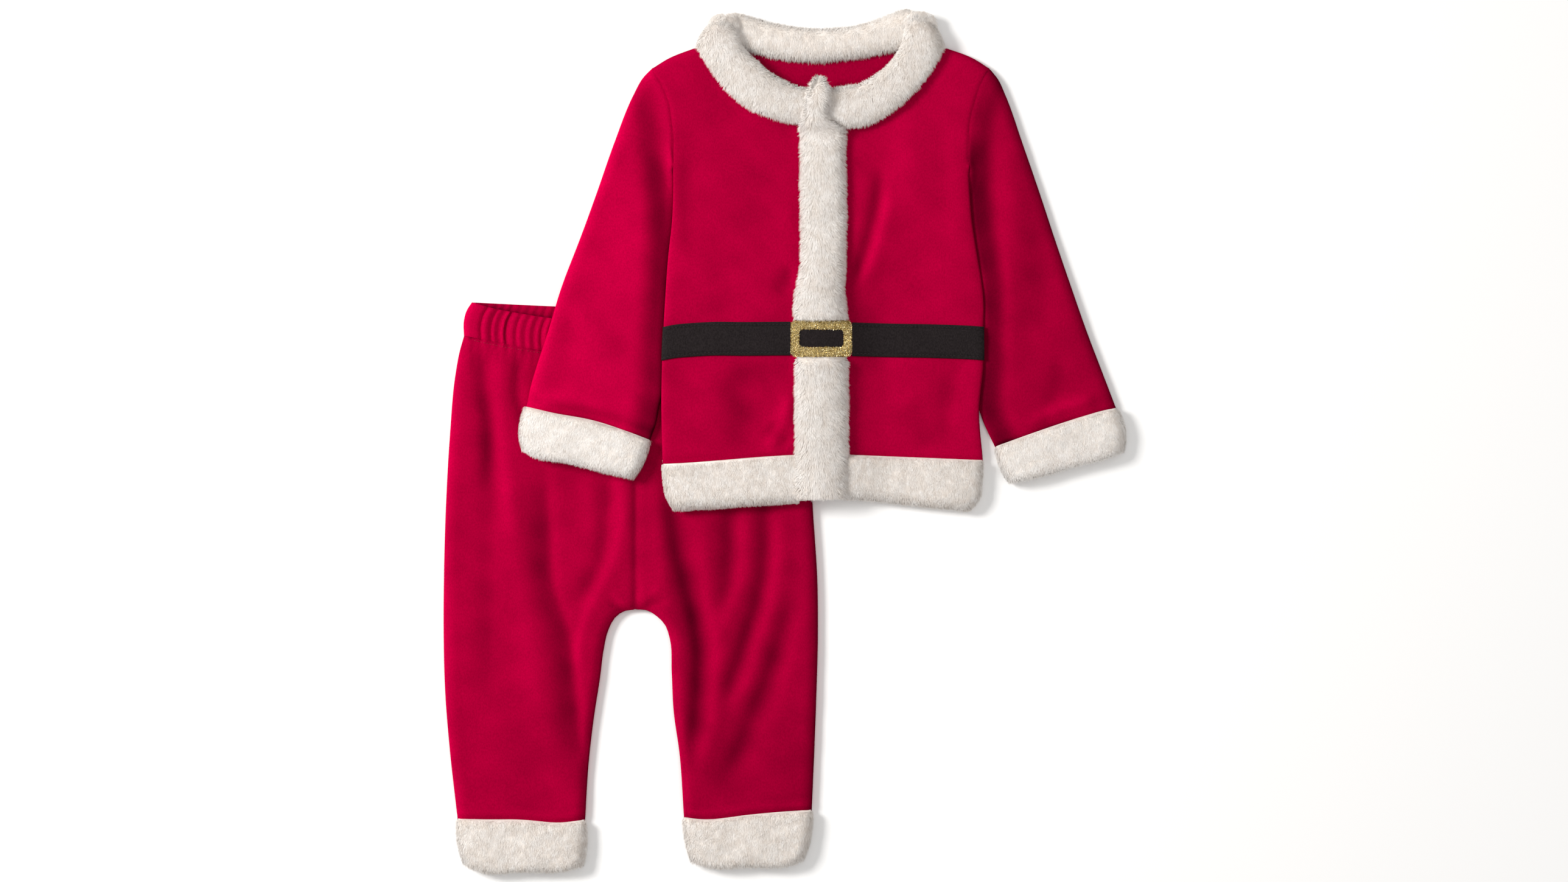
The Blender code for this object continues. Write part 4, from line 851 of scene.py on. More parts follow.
def waves(x, y, size=1.0):
    """Slow waves of the cloth, mm: five sines of unlike lengths and directions, added."""
    total = 0.0
    for angle, length, height, phase in (
        (0.3, 47.0, 0.20, 0.4),
        (1.2, 33.0, 0.15, 2.1),
        (2.0, 26.0, 0.12, 4.0),
        (2.7, 61.0, 0.24, 1.3),
        (0.8, 19.0, 0.07, 5.2),
    ):
        total = total + height * np.sin(2 * np.pi * (x * np.cos(angle) + y * np.sin(angle)) / length + phase)
    return size * total


def wall_points(plan, rims, outside, inside, lifted=True, butt_rows=(0,)):
    """Outer and inner points of a wall over a plan grid, from the levels of its faces away from any rim.

    butt_rows are the rows that meet another piece, where the inner face ends below the outer one.
    """
    outer_z = np.broadcast_to(outside, plan.shape[:-1]).copy()
    inner_z = np.broadcast_to(inside, plan.shape[:-1]).copy()
    shift = np.zeros(plan.shape)
    for side in rims:
        distance, away = near(plan, side["route"])
        outer_z += (side["edge"] - outside) * (1 - roll(distance / side["reach"]))
        inner_z += (side["edge"] - inside) * (1 - roll(distance / side["reach"] / INNER_REACH))
        fading = np.clip(1 - distance / (side["reach"] + 2 * side["inset"]), 0, 1)
        shift += away * (side["inset"] * fading)[..., None]
    for row in butt_rows:
        tangent = np.gradient(plan[row], axis=0)
        tangent /= np.linalg.norm(tangent, axis=-1, keepdims=True)
        shift[row] = (shift[row] * tangent).sum(-1, keepdims=True) * tangent
    inner = plan + shift
    if lifted:
        outer_z += rise(plan[..., 0], plan[..., 1])
        inner_z += rise(plan[..., 0], plan[..., 1])
    return np.concatenate([plan, outer_z[..., None]], -1), np.concatenate([inner, inner_z[..., None]], -1)


INNER_REACH = 1.2  # the inner face is level this many times further in than the outer one
print("rise on the trousers and off them, mm:", rise(0.0, 50.0), rise(120.0, 50.0))

# %% [markdown]
# ## From grids to cloth
#
# A cut piece is one closed wall: the outer face, the inner face a cloth's thickness away, and narrow strips
# that close its borders. The outer face carries a number for the painted light and shade on its cloth: paler
# on a slope that faces left, towards the lamp, and darker down in a trough, as painted shade.

# %% Meshes
def grid_faces(rows, columns, wrap, first, flip):
    """Four corners for each cell of a grid of points, numbered from first."""
    across = columns if wrap else columns - 1
    row, column = np.meshgrid(np.arange(rows - 1), np.arange(across), indexing="ij")
    corner = row * columns + column
    neighbour = row * columns + (column + 1) % columns
    cells = np.stack([corner, neighbour, neighbour + columns, corner + columns], -1).reshape(-1, 4) + first
    return cells[:, ::-1] if flip else cells


def new_mesh(name, points, faces, finish, sharp=None, **values):
    """A mesh piece on the root body from points in mm, with the values given as numbers on its points."""
    mesh = bpy.data.meshes.new(name)
    corners = faces.shape[1]
    mesh.vertices.add(len(points))
    mesh.vertices.foreach_set("co", ((points + SHIFT) * MM).astype(np.float32).ravel())
    mesh.loops.add(faces.size)
    mesh.loops.foreach_set("vertex_index", faces.astype(np.int32).ravel())
    mesh.polygons.add(len(faces))
    mesh.polygons.foreach_set("loop_start", np.arange(0, faces.size, corners, dtype=np.int32))
    mesh.polygons.foreach_set("use_smooth", np.ones(len(faces), bool))
    for key, value in values.items():
        layer = mesh.attributes.new(key, "FLOAT", "POINT")
        layer.data.foreach_set("value", np.asarray(value, np.float32).ravel())
    mesh.update(calc_edges=True)
    mesh.validate()
    if sharp:
        mesh.set_sharp_from_angle(angle=np.radians(sharp))
    mesh.materials.append(finish)
    made = bpy.data.objects.new(name, mesh)
    scene.collection.objects.link(made)
    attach(made, "root")
    return made


def wall(name, outer, inner, finish, wrap=False, **values):
    """One closed wall between two grids of points. wrap joins the last column to the first."""
    rows, columns = outer.shape[:2]
    count = rows * columns
    points = np.concatenate([outer.reshape(-1, 3), inner.reshape(-1, 3)])
    grid = np.arange(count).reshape(rows, columns)
    if wrap:
        grid = np.concatenate([grid, grid[:, :1]], 1)
    borders = [grid[0], grid[-1][::-1]]
    if not wrap:
        borders += [grid[::-1, 0], grid[:, -1]]
    faces = [grid_faces(rows, columns, wrap, 0, False), grid_faces(rows, columns, wrap, count, True)]
    faces += [np.stack([b[:-1] + count, b[1:] + count, b[1:], b[:-1]], -1) for b in borders]
    faces = np.concatenate(faces)
    a, b, c, d = (points[faces[:, k]] for k in range(4))
    if np.einsum("ij,ij->", a + b + c + d, np.cross(c - a, d - b)) < 0:
        faces = faces[:, ::-1]
    doubled = {key: np.concatenate([value.ravel(), value.ravel()]) for key, value in values.items()}
    return new_mesh(name, points, faces, finish, sharp=50, **doubled)


def cut_of(outer, wrap=False):
    """Size of the flat cut in metres, and its area: the longest row and column, and the sum of the cells."""
    shown = np.concatenate([outer, outer[:, :1]], 1) if wrap else outer
    width = np.linalg.norm(np.diff(shown, axis=1), axis=-1).sum(1).max()
    length = np.linalg.norm(np.diff(shown, axis=0), axis=-1).sum(0).max()
    across = shown[1:, 1:] - shown[:-1, :-1]
    down = shown[1:, :-1] - shown[:-1, 1:]
    area = 0.5 * np.linalg.norm(np.cross(across, down), axis=-1).sum()
    return (width * MM, length * MM), min(area, width * length) * MM * MM


def sheet(node, with_pieces=()):
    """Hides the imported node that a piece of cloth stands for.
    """
    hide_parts(node)


def grid_normals(points, wrap=False):
    """Outward direction at each point of an outer grid whose first third of columns faces up."""
    if wrap:
        across = np.roll(points, -1, 1) - np.roll(points, 1, 1)
    else:
        across = np.gradient(points, axis=1)
    normal = np.cross(across, np.gradient(points, axis=0))
    normal /= np.maximum(np.linalg.norm(normal, axis=-1, keepdims=True), 1e-9)
    return normal * np.sign(normal[:, : points.shape[1] // 3, 2].mean())


def nap_of(outer, plain, relief=0.0, wrap=False):
    """Painted light and shade, 0 to 1, from a piece's own plain value, its slopes and its troughs, mm: paler on
    a slope that faces the lamp on the left, darker in a trough.
    """
    slope = -grid_normals(outer, wrap)[..., 0]
    by_height = np.where(relief < 0, DARKER_PER_MM, PALER_PER_MM)
    return np.clip(plain + PALER_ON_SLOPE * slope + by_height * relief, 0, 1)


def tucked(plan, row, by):
    """Moves a grid's first or last row on by some mm, under the piece that it is sewn to."""
    step = plan[row] - plan[1 if row == 0 else row - 1]
    plan[row] += by * step / np.linalg.norm(step, axis=-1, keepdims=True)
    return plan


def drawn(walls, drop):
    """Lowers the outer face of a wall by the depth of its stitches."""
    outer, inner = walls
    outer[..., 2] -= drop
    return outer, inner


PALER_ON_SLOPE = 0.36  # paler on a slope that faces straight left, towards the lamp: painted light
PALER_PER_MM = 0.06  # paler up on a ridge: painted light
DARKER_PER_MM = 0.1  # darker down in a trough: painted shade

# %% [markdown]
# ## The jacket's velour
#
# The fronts, the back and the sleeves are cut along the same seams as their neighbours. Near a seam the cloth
# dips by the depth of the stitches. The two fronts meet under the fur band.

# %% Seams of the body
def body_side(side):
    """The body's left or right edge: X for a height Y."""
    return lambda y: smooth(np.asarray(y, float), BODY_SIDES["y"], BODY_SIDES[side])


def shoulder(side):
    """The shoulder seam from its tip to the neck."""
    return traced(SHOULDERS, side)


def neck_to_centre(side):
    """The front neckline from the neck point of one side to the centre."""
    path = traced(NECK_FRONT)
    middle = share_at(path, 0, BODY_CENTRE)
    return part_of(path, 0, middle) if side == "left" else part_of(path, 1, middle)


def body_edge(side, top=SHOULDERS["left_y"][0]):
    """The body's side from the hem up to a height."""
    heights = np.linspace(BODY_SIDES["y"][0], top, 200)
    return curve(body_side(side)(heights), heights)


def side_route(side):
    """The rolled side seam below the arm, with the cloth on its left."""
    up = body_edge(side, UNDERARM)
    return reverse(up) if side == "left" else up


def shoulder_route(side):
    """The shoulder seam with the cloth on its left."""
    return reverse(shoulder(side)) if side == "left" else shoulder(side)


def dip(plan, *paths):
    """How far the stitches of the seams along the paths pull a wall's outer face down, mm."""
    total = np.zeros(plan.shape[:-1])
    for path in paths:
        pull = bell(distance_to(path, plan, 120), STITCH_DIP["width"])
        total = np.maximum(total, STITCH_DIP["depth"] * pull)
    return total


def body_rims(side, reach, gap):
    """Rims of one side of the body, for walls that keep a gap above (positive) or below the seams."""
    return [
        rim(side_route(side), SIDE_SEAM + gap, reach, VELOUR),
        rim(shoulder_route(side), SHOULDER_SEAM + gap, FRONT_REACH, VELOUR),
    ]


def front_relief(x, y):
    """Folds and waves of the jacket's upper face, mm. They stop short of the stiff fur band and hem."""
    half = (STRIP_RIGHT - STRIP_LEFT) / 2
    free = ramp((np.abs(x - BODY_CENTRE) - half) / STIFF["beside_band"])
    above_hem = ramp((y - HEM_SEAM_Y[0]) / STIFF["above_hem"])
    return free * (creases(JACKET_CREASES, x, y) + waves(x, y) * above_hem)


def seam_sag(x, y):
    """How far the hem's seam sags on the left front, mm. It fades out over the cloth and the fur beside it."""
    beside_seam = ramp((y + 45) / 30) * (1 - ramp((y - HEM_SEAM_Y[0]) / 25))
    return HEM_SAG["depth"] * (1 - ramp((x - HEM_SAG["west"]) / HEM_SAG["fades_over"])) * beside_seam


STIFF = dict(beside_band=8.0, above_hem=14.0)  # how far from the fur the cloth is stiffer than elsewhere
HEM_SAG = dict(depth=2.8, west=-85.0, fades_over=95.0)  # whole left of an X, and gone so far to the right
TUCK = dict(by=2.0, drop=1.6)  # how far a raw edge runs on under the fur that it is sewn to, and lies below it
WAIST_TUCK = dict(by=1.2, drop=1.0)  # and under the waistband
ARMHOLE_STARTS = 6  # how far above the underarm its stitches begin to show
# Each piece's own level of painted light, 0.5 plain; the inside of the back gets painted shade from the collar.
FRONT_PAINTED_LIGHT = dict(left=0.51, right=0.54)
BACK_PAINTED_LIGHT, NECK_PAINTED_SHADE = 0.5, 0.42
NECK_SHADE_Y = 262  # the inside of the back is in the collar's shade above this
print("body's width at the underarm, mm:", float(body_side("right")(UNDERARM) - body_side("left")(UNDERARM)))

# %% Fronts and back
def make_front(side):
    """One front: a grid between hem seam, shoulder and neckline, side seam and centre."""
    inward = -OUTWARD[side]
    centre_x = BODY_CENTRE - inward * SEAM / 2
    up = body_edge(side)
    top = joined(shoulder(side), neck_to_centre(side))
    bottom = line(up(0), (centre_x, HEM_SEAM_Y[1]))
    centre = line(bottom(1), (centre_x, top(1)[1]))
    plan = between((bottom, top, up, centre), *spread("front", SHOWN))
    plan[..., 0] = inward * np.minimum(inward * plan[..., 0], inward * centre_x)
    plan[..., 1] -= seam_sag(plan[..., 0], plan[..., 1])
    relief = front_relief(plan[..., 0], plan[..., 1])
    level = LAID + relief
    armhole = part_of(up, share_at(up, 1, UNDERARM + ARMHOLE_STARTS), 1)
    drop = dip(plan, armhole, bottom, shoulder(side))
    plan = tucked(plan, 0, TUCK["by"])
    drop[0] = TUCK["drop"]
    walls = wall_points(plan, body_rims(side, FRONT_REACH, SEAM / 2), level, level - VELOUR)
    outer, inner = drawn(walls, drop)
    # Painted light and shade on the front, from its slopes, creases and stitched dips.
    nap = nap_of(outer, FRONT_PAINTED_LIGHT[side], relief - drop)
    made = wall(f"velour_front_{side}", outer, inner, RED, nap=nap)
    sheet(f"jacket_front_{side}")


def make_back():
    """The back in one piece: its top runs along both shoulders and the back neckline."""
    left, right = body_edge("left"), body_edge("right")
    top = joined(shoulder("left"), traced(NECK_BACK), reverse(shoulder("right")))
    plan = between((line(left(0), right(0)), top, left, right), *spread("back", UNSEEN))
    rims = body_rims("left", BACK_REACH, -SEAM / 2) + body_rims("right", BACK_REACH, -SEAM / 2)
    outer, inner = wall_points(plan, rims, 0.0, VELOUR)
    # Painted shade of the collar on the inside of the back, and plain painted light below it.
    nap = np.where(plan[..., 1] > NECK_SHADE_Y, NECK_PAINTED_SHADE, BACK_PAINTED_LIGHT)
    made = wall("velour_back", outer, inner, RED, nap=nap)
    sheet("jacket_back")


make_back()
for side in SIDES:
    make_front(side)

# %% [markdown]
# A sleeve is a flattened tube: a front wall and a back wall that are joined by folds along both sides. Beside
# the body it tucks down against the side seam, so it has a long trough there. The tube's grid runs across the
# front wall and back across the back wall, as one closed row of points for each step down the arm.

# %% Sleeves
def ring(front, back):
    """Front and back wall as one grid that closes on itself. Both share their first and last columns."""
    return [np.concatenate([a, b[:, ::-1][:, 1:-1]], 1) for a, b in zip(front, back)]


def make_sleeve(side):
    """A sleeve: its end follows the armhole, its sides the arm's outer fold and the body's side."""
    tuck = -OUTWARD[side] * SLEEVE_TUCK
    seam_y = np.linspace(SHOULDERS["left_y"][0], UNDERARM, 60)
    armhole = curve(body_side(side)(seam_y) + tuck, seam_y)
    down = np.linspace(UNDERARM, SLEEVE_ENDS[side + "_y"][0] + SLEEVE_LEAVES, 40)
    inner_x = body_side(side)(down) + tuck
    inner_edge = curve(np.r_[inner_x, SLEEVE_ENDS[side + "_x"]], np.r_[down, SLEEVE_ENDS[side + "_y"]])
    tip_x, tip_y = armhole(0)
    tip_y += SLEEVE_HEAD
    outer_edge = curve(np.r_[tip_x, SLEEVES[side + "_x"][1:]], np.r_[tip_y, SLEEVES[side + "_y"][1:]])
    seam = traced(CUFFS, side)
    across, along = spread("sleeve", SHOWN)
    plan = between((armhole, seam, outer_edge, inner_edge), across, along)
    outer_route, inner_route = cloth_on_left(side, outer_edge, inner_edge)
    rims = [
        rim(outer_route, SLEEVE_FOLD, FUR_REACH, VELOUR),
        rim(inner_route, UNDERARM_FOLD, UNDERARM_REACH, VELOUR),
    ]
    x, y = plan[..., 0], plan[..., 1]
    beside_body = 1 - ramp(near(plan, rims[1]["route"])[0] / SLEEVE_TROUGH["width"])
    down_arm = along[:, None]
    trough = SLEEVE_TROUGH["depth"] * beside_body * ramp(down_arm / SLEEVE_TROUGH["starts"])
    relief = creases(SLEEVE_CREASES, x, y) + waves(x + 31, y - 17) * ramp(down_arm / 0.05) - trough
    drop = dip(plan, armhole, seam)
    plan = tucked(plan, -1, TUCK["by"])
    drop[-1] = TUCK["drop"]
    front = wall_points(plan, rims, LAID + relief, LAID + relief - VELOUR, butt_rows=(0, -1))
    back = wall_points(plan, rims, 0.0, VELOUR, butt_rows=(0, -1))
    front[0][..., 2] -= drop
    outer, inner = ring(front, back)
    # A painted shadow that the body casts on the sleeve beside it, and painted shade above the cuff's seam.
    from_body = distance_to(joined(armhole, inner_edge), plan, 200)
    low, high, breadth, fades_over, depth = SLEEVE_SHADE[side]
    near_side = low + (high - low) * ramp((y - SHADE_Y[0]) / (SHADE_Y[1] - SHADE_Y[0]))
    before, past = (near_side - from_body) / SHADE_SOFT, (from_body - near_side - breadth) / fades_over
    outside_band = np.maximum(before, past)
    shadow = depth * ramp(0.4 + 3 * down_arm) * (1 - ramp(np.maximum(outside_band, 0)))
    shadow = shadow + SEAM_SHADE[side] * bell(distance_to(seam, plan), 4, 6)
    under = np.zeros_like(relief)[:, ::-1][:, 1:-1]
    nap = nap_of(outer, SLEEVE_PAINTED_LIGHT[side], np.concatenate([relief + trough - drop - shadow, under], 1), True)
    made = wall(f"velour_sleeve_{side}", outer, inner, RED, wrap=True, nap=nap)
    sheet(f"sleeve_{side}")


SLEEVE_TUCK = 0.9  # how far its fold slips under the body's side
SLEEVE_LEAVES = 12  # how far above the measured end of its inner edge it still follows the body
# Each sleeve's own level of painted light: the left one faces the lamp, the right one lies more in shade.
SLEEVE_PAINTED_LIGHT = dict(left=0.68, right=0.44)
# The shaded band beside the body: its distance from the body low down and high up, its breadth, how far it
# fades out over away from the body, and how dark it is, as if it were so many mm deep.
SLEEVE_SHADE = dict(left=(4.0, 16.0, 2.0, 17.0, 4.0), right=(0.0, 0.0, 10.0, 13.0, 3.6))
SHADE_Y = (120, 230)  # Y of low down and of high up
SHADE_SOFT = 14  # how far it fades out over towards the body
SEAM_SHADE = dict(left=1.3, right=0.4)  # how deep the painted shade is above the cuff's seam, where its allowance lies inside
for side in SIDES:
    make_sleeve(side)

# %% [markdown]
# ## The trousers
#
# Two fronts and two backs, sewn down the centre, the outsides and the inside legs. The elastic of the
# waistband gathers the top edge into small pleats that fade out a finger's width below the seam, and the cloth
# puckers where the two curved crotch seams meet.

# %% Gathers
def gathers(share):
    """Height of the gathers at a share of the waist, 0 to 1: uneven half waves, each of its own height."""
    k = np.arange(2 * GATHERS + 1)
    places = (k + 0.35 * np.sin(k * 2.39) * (k > 0) * (k < k[-1])) / k[-1]
    phase = np.interp(share, places, k)
    tall = 0.75 + 0.25 * np.sin(1.7 * (2 * np.floor(phase / 2) + 1))
    return tall * (0.5 - 0.5 * np.cos(np.pi * phase))


def waist_path(side_shares, which, face):
    """A stretch of the waist seam or edge between two shares of its width."""
    shares = np.linspace(*side_shares, 40)
    return curve(WAIST_LEFT + WAIST_WIDTH * shares, smooth(shares, which["share"], which[face]))


WAIST_WIDTH = WAIST_RIGHT - WAIST_LEFT
GATHERS = 38  # across each side of the waistband
PLEAT_HEIGHT = 2.0
PLEAT_FADE = 9.0  # how far the gathers reach down into the trousers
print("gathers, mm each:", round(WAIST_WIDTH / GATHERS, 2))

# %% Legs
def trouser_paths(side, face):
    """The four sides of a leg panel, its rolled edges, and its inside seam."""
    left = side == "left"
    centre_x = TROUSER_CENTRE - CENTRE_GAP * OUTWARD[side]
    middle = (centre_x - WAIST_LEFT) / WAIST_WIDTH
    waist = waist_path((0, middle) if left else (middle, 1), WAIST_SEAM, face)
    crotch = (centre_x, LEGS_INSIDE[side + "_y"][0])
    inside = traced(LEGS_INSIDE, side)
    centre = joined(line(waist(1) if left else waist(0), crotch), inside)
    outside, cuff = traced(LEGS_OUTSIDE, side), traced(LEG_CUFFS, side)
    sides = (outside, centre) if left else (centre, outside)
    end, chord = line(sides[0](1), sides[1](1)), line(cuff(0), cuff(1))

    def hem(s):
        return end(s) + cuff(s) - chord(s)

    routes = (outside, reverse(inside)) if left else (inside, reverse(outside))
    return (waist, hem, *sides), routes, inside


def trouser_relief(x, y, waist_y):
    """Folds, waves and fading gathers of the trousers' upper face, mm."""
    below = np.maximum(waist_y - y, 0)
    pleats = PLEAT_HEIGHT * (gathers((x - WAIST_LEFT) / WAIST_WIDTH) - 0.5) * np.exp(-below / PLEAT_FADE)
    seam_dip = CENTRE_SEAM_DIP["depth"] * bell(x, CENTRE_SEAM_DIP["width"], TROUSER_CENTRE)
    folds = 0.8 * creases(TROUSER_CREASES, x, y) + waves(x - 13, y + 40)
    return folds + pleats - seam_dip * (y > CENTRE_SEAM_DIP["ends_y"])


def make_leg(side, face):
    """A front or back panel of the trousers, from the waistband to the cuff."""
    paths, routes, inside = trouser_paths(side, face)
    front = face == "front"
    plan = between(paths, *spread("leg", SHOWN if front else LEG_UNSEEN))
    gap = SEAM / 2 if front else -SEAM / 2
    rims = [rim(route, LEG_SEAM + gap, LEG_REACH if front else BACK_REACH, VELOUR) for route in routes]
    x, y = plan[..., 0], plan[..., 1]
    relief = np.zeros(x.shape)
    level, drop = 0.0, 0.0
    if front:
        hem = distance_to(paths[1], plan)
        allowance = 0.5 * bell(hem, 2.0, 4.0) - 0.35 * bell(hem, 1.2, 8.5)  # a ridge, and a line above it
        inseam = -0.4 * bell(distance_to(inside, plan, 80), 0.8, 2.6)  # a line beside the inside seam
        relief = trouser_relief(x, y, plan[:1, :, 1]) + allowance + inseam
        level = TROUSERS_LAID + relief
        drop = dip(plan, paths[0], paths[1]) * np.where(y > 0, 0.6, 1.0)
        plan = tucked(tucked(plan, 0, WAIST_TUCK["by"]), -1, TUCK["by"])
        drop[0], drop[-1] = WAIST_TUCK["drop"], TUCK["drop"]
        walls = wall_points(plan, rims, level, level - VELOUR, lifted=False, butt_rows=(0, -1))
    else:
        walls = wall_points(plan, rims, 0.0, VELOUR, lifted=False, butt_rows=(0, -1))
    outer, inner = drawn(walls, drop)
    # Painted light and shade on the upper face, from its slopes, creases and stitched lines.
    down_leg = ramp((LEG_SHADE["top_y"] - y) / LEG_SHADE["grows_over"])
    plain = LEG_PAINTED_LIGHT[side] - LEG_SHADE["depth"] * down_leg if front else LEG_PAINTED_LIGHT["back"]
    nap = nap_of(outer, plain, relief - drop)
    made = wall(f"velour_leg_{face}_{side}", outer, inner, RED, nap=nap)
    sheet(f"trouser_{face}_{side}")


CENTRE_GAP = 0.1  # from the trousers' centre to each half's edge
LEG_UNSEEN = (4.5,)  # spacing of a back's grid
# Each leg's own level of painted light: the right leg tilts away from the lamp and gets more painted shade.
LEG_PAINTED_LIGHT = dict(left=0.50, right=0.43, back=0.45)
LEG_SHADE = dict(depth=0.03, top_y=-170, grows_over=60)  # the lower legs are a little darker
for side in SIDES:
    for face in ("back", "front"):
        make_leg(side, face)

# %% Stitches
def make_stitches(name, starts, ends, thickness, finish, slot):
    """Stitches as short bowed threads: five rings of six points from start to end, highest in the middle."""
    along = np.linspace(0, 1, len(STITCH_SHAPE))[:, None]
    turn = np.linspace(0, 2 * np.pi, 7)[:-1]
    step = ends - starts
    reach = np.linalg.norm(step, axis=-1, keepdims=True)
    ahead = step / reach
    side = np.cross(ahead, (0.0, 0.0, 1.0))
    up = np.cross(side, ahead)
    bow = STITCH_BOW * thickness * np.sin(np.pi * along)
    middle = starts[:, None] + along * step[:, None] + up[:, None] * bow
    round_part = thickness * np.array(STITCH_SHAPE)[:, None, None]
    offset = side[:, None, None] * np.cos(turn)[:, None] + up[:, None, None] * np.sin(turn)[:, None]
    points = middle[:, :, None] + offset * round_part / 2
    caps = np.array([[0, 1, 2, 3], [0, 3, 4, 5], [27, 26, 25, 24], [29, 28, 27, 24]])  # its two ends
    one_stitch = np.concatenate([grid_faces(5, 6, True, 0, False), caps[:, ::-1]])
    faces = (one_stitch + 30 * np.arange(len(starts))[:, None, None]).reshape(-1, 4)
    made = new_mesh(name, points.reshape(-1, 3), faces, finish)


STITCH_SHAPE = (0.45, 0.9, 1.0, 0.9, 0.45)  # how thick it is at its five rings, as shares of the thread
STITCH_BOW = 0.45  # how high its middle stands, the same way

# %% Waistband
def make_waistband():
    """The casing of the elastic, one ring of gathered velour."""
    u, v = crowded(ABOUT["waistband"][0], 1.5, 0.8), np.linspace(0, 1, 15)
    left, right = (curve(BAND_SIDES[side], BAND_SIDES["y"]) for side in SIDES)
    top_left, top_right = (BAND_SIDES[side][0] for side in SIDES)
    rims = [rim(route, LEG_SEAM, BAND_REACH, BAND_WALL) for route in (left, reverse(right))]
    ruffle = 1 - (1 - gathers(u) ** 0.6) * ramp((np.minimum(u, 1 - u) - 0.03) / 0.03)
    swell = np.sqrt(np.clip(1 - (2 * v - 1) ** 8, 0, 1))[:, None]  # the casing is full between its two edges
    walls, shades = [], []
    front_edge = smooth(u, WAIST_EDGE["share"], WAIST_EDGE["front"])
    levels_of = dict(front=(BAND_LAID, BAND_LAID - BAND_WALL, 1), back=(0.0, BAND_WALL, -1))
    for face, (outside, inside, up) in levels_of.items():
        y_edge = smooth(u, WAIST_EDGE["share"], WAIST_EDGE[face])
        y_seam = smooth(u, WAIST_SEAM["share"], WAIST_SEAM[face]) + 1.5 * SEAM
        edge = np.stack([top_left + u * (top_right - top_left), y_edge], -1)
        seam = np.stack([WAIST_LEFT + u * WAIST_WIDTH, y_seam], -1)
        plan = patch(edge, seam, left(v), right(v), u, v)
        outer, inner = wall_points(plan, rims, outside, inside, lifted=False, butt_rows=(0, -1))
        height = RUFFLE * (ruffle[None] - 0.6) * (0.65 + 0.35 * swell) - 0.6 * (1 - swell)
        # Painted shade in the troughs of the gathers.
        shade = RUFFLE_SHADE * height
        if face == "back":
            height = -0.6 * (1 - ruffle[None]) * np.ones_like(swell)
            past = plan[..., 1] - front_edge  # above the front's edge, where the inside of the back shows
            inner[..., 2] += 0.8 * (ruffle[None] - 0.8) * ramp(past / 2)
            # A painted shadow of the front's edge on the inside of the back.
            in_shadow = 4.5 * np.exp(-np.maximum(past, 0) / 2.5)
            shade = RUFFLE_SHADE * (ruffle[None] - 0.8) - in_shadow
        outer[..., 2] += up * height
        walls.append((outer, inner))
        shades.append(shade)
    outer, inner = ring(*walls)
    shade = np.concatenate([shades[0], shades[1][:, ::-1][:, 1:-1]], 1)
    nap = nap_of(outer, BAND_PAINTED_LIGHT, shade, True)
    made = wall("velour_waistband", outer, inner, RED, wrap=True, nap=nap)
    sheet("waistband")


def stitch_waist(pitch=2.3, below=1.5, first=0.03):
    """The row of stitches just below the waistband, between its first and last shares of the width."""
    stretch = 1 - 2 * first
    count = int(WAIST_WIDTH * stretch / pitch)
    middles = first + stretch * (np.arange(count) + 0.5) / count
    ends = []
    for step in (-0.4 * pitch, 0.4 * pitch):
        share = middles + step / WAIST_WIDTH
        x, waist_y = WAIST_LEFT + WAIST_WIDTH * share, smooth(share, WAIST_SEAM["share"], WAIST_SEAM["front"])
        y = waist_y - below
        ends.append(np.stack([x, y, TROUSERS_LAID + trouser_relief(x, y, waist_y) - WAIST_THREAD["sunk"]], -1))
    make_stitches("stitches_waist", *ends, WAIST_THREAD["thickness"], RED_THREAD, "red_velour")


RUFFLE = 1.7  # height of the gathers on the casing, mm
RUFFLE_SHADE = 1.5  # how much painted shade their troughs get for their depth
BAND_PAINTED_LIGHT = 0.56
WAIST_THREAD = dict(thickness=0.4, sunk=0.25)
make_waistband()
stitch_waist()

# %% [markdown]
# ## Fur
#
# A fur trim is a thick knitted backing with pile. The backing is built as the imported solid's shape, a little
# smaller, and thousands of fibres grow on it and reach back out to that shape and just past its edges. Real
# hair strands would be lost in an export, so each fibre is a small mesh: a kite of two triangles that bends
# over and ends in a point. Neighbours lean alike, which makes soft locks. Fine fur glows instead of showing
# each hair's own shade, so the fibres are shaded like the skin that they grow on.

# %% Pile
def on_grid(grid, row, column, wrap):
    """Values of a grid of points at fractional rows and columns, blended between the four neighbours."""
    columns = grid.shape[1]
    r, c = np.floor(row).astype(int), np.floor(column).astype(int)
    r = np.minimum(r, grid.shape[0] - 2)
    after = (c + 1) % columns if wrap else np.minimum(c + 1, columns - 1)
    a, b = (row - r)[:, None], (column - c)[:, None]
    upper = grid[r, c] * (1 - b) + grid[r, after] * b
    lower = grid[r + 1, c] * (1 - b) + grid[r + 1, after] * b
    return upper * (1 - a) + lower * a


def scattered(outer, wrap, count, hidden, random):
    """Fractional rows and columns of points spread evenly over a grid, thinner where it faces the floor."""
    shown = np.concatenate([outer, outer[:, :1]], 1) if wrap else outer
    across, down = shown[1:, 1:] - shown[:-1, :-1], shown[1:, :-1] - shown[:-1, 1:]
    facing = np.cross(across, down)
    area = np.linalg.norm(facing, axis=-1)
    upper = np.sign(facing[:, : area.shape[1] // 3, 2].mean())
    underneath = upper * facing[..., 2] < -0.3 * area
    weight = area * np.where(underneath, hidden, 1.0)
    cells = random.choice(area.size, count, p=(weight / weight.sum()).ravel())
    row, column = np.divmod(cells, area.shape[1])
    return row + random.random(count), column + random.random(count)


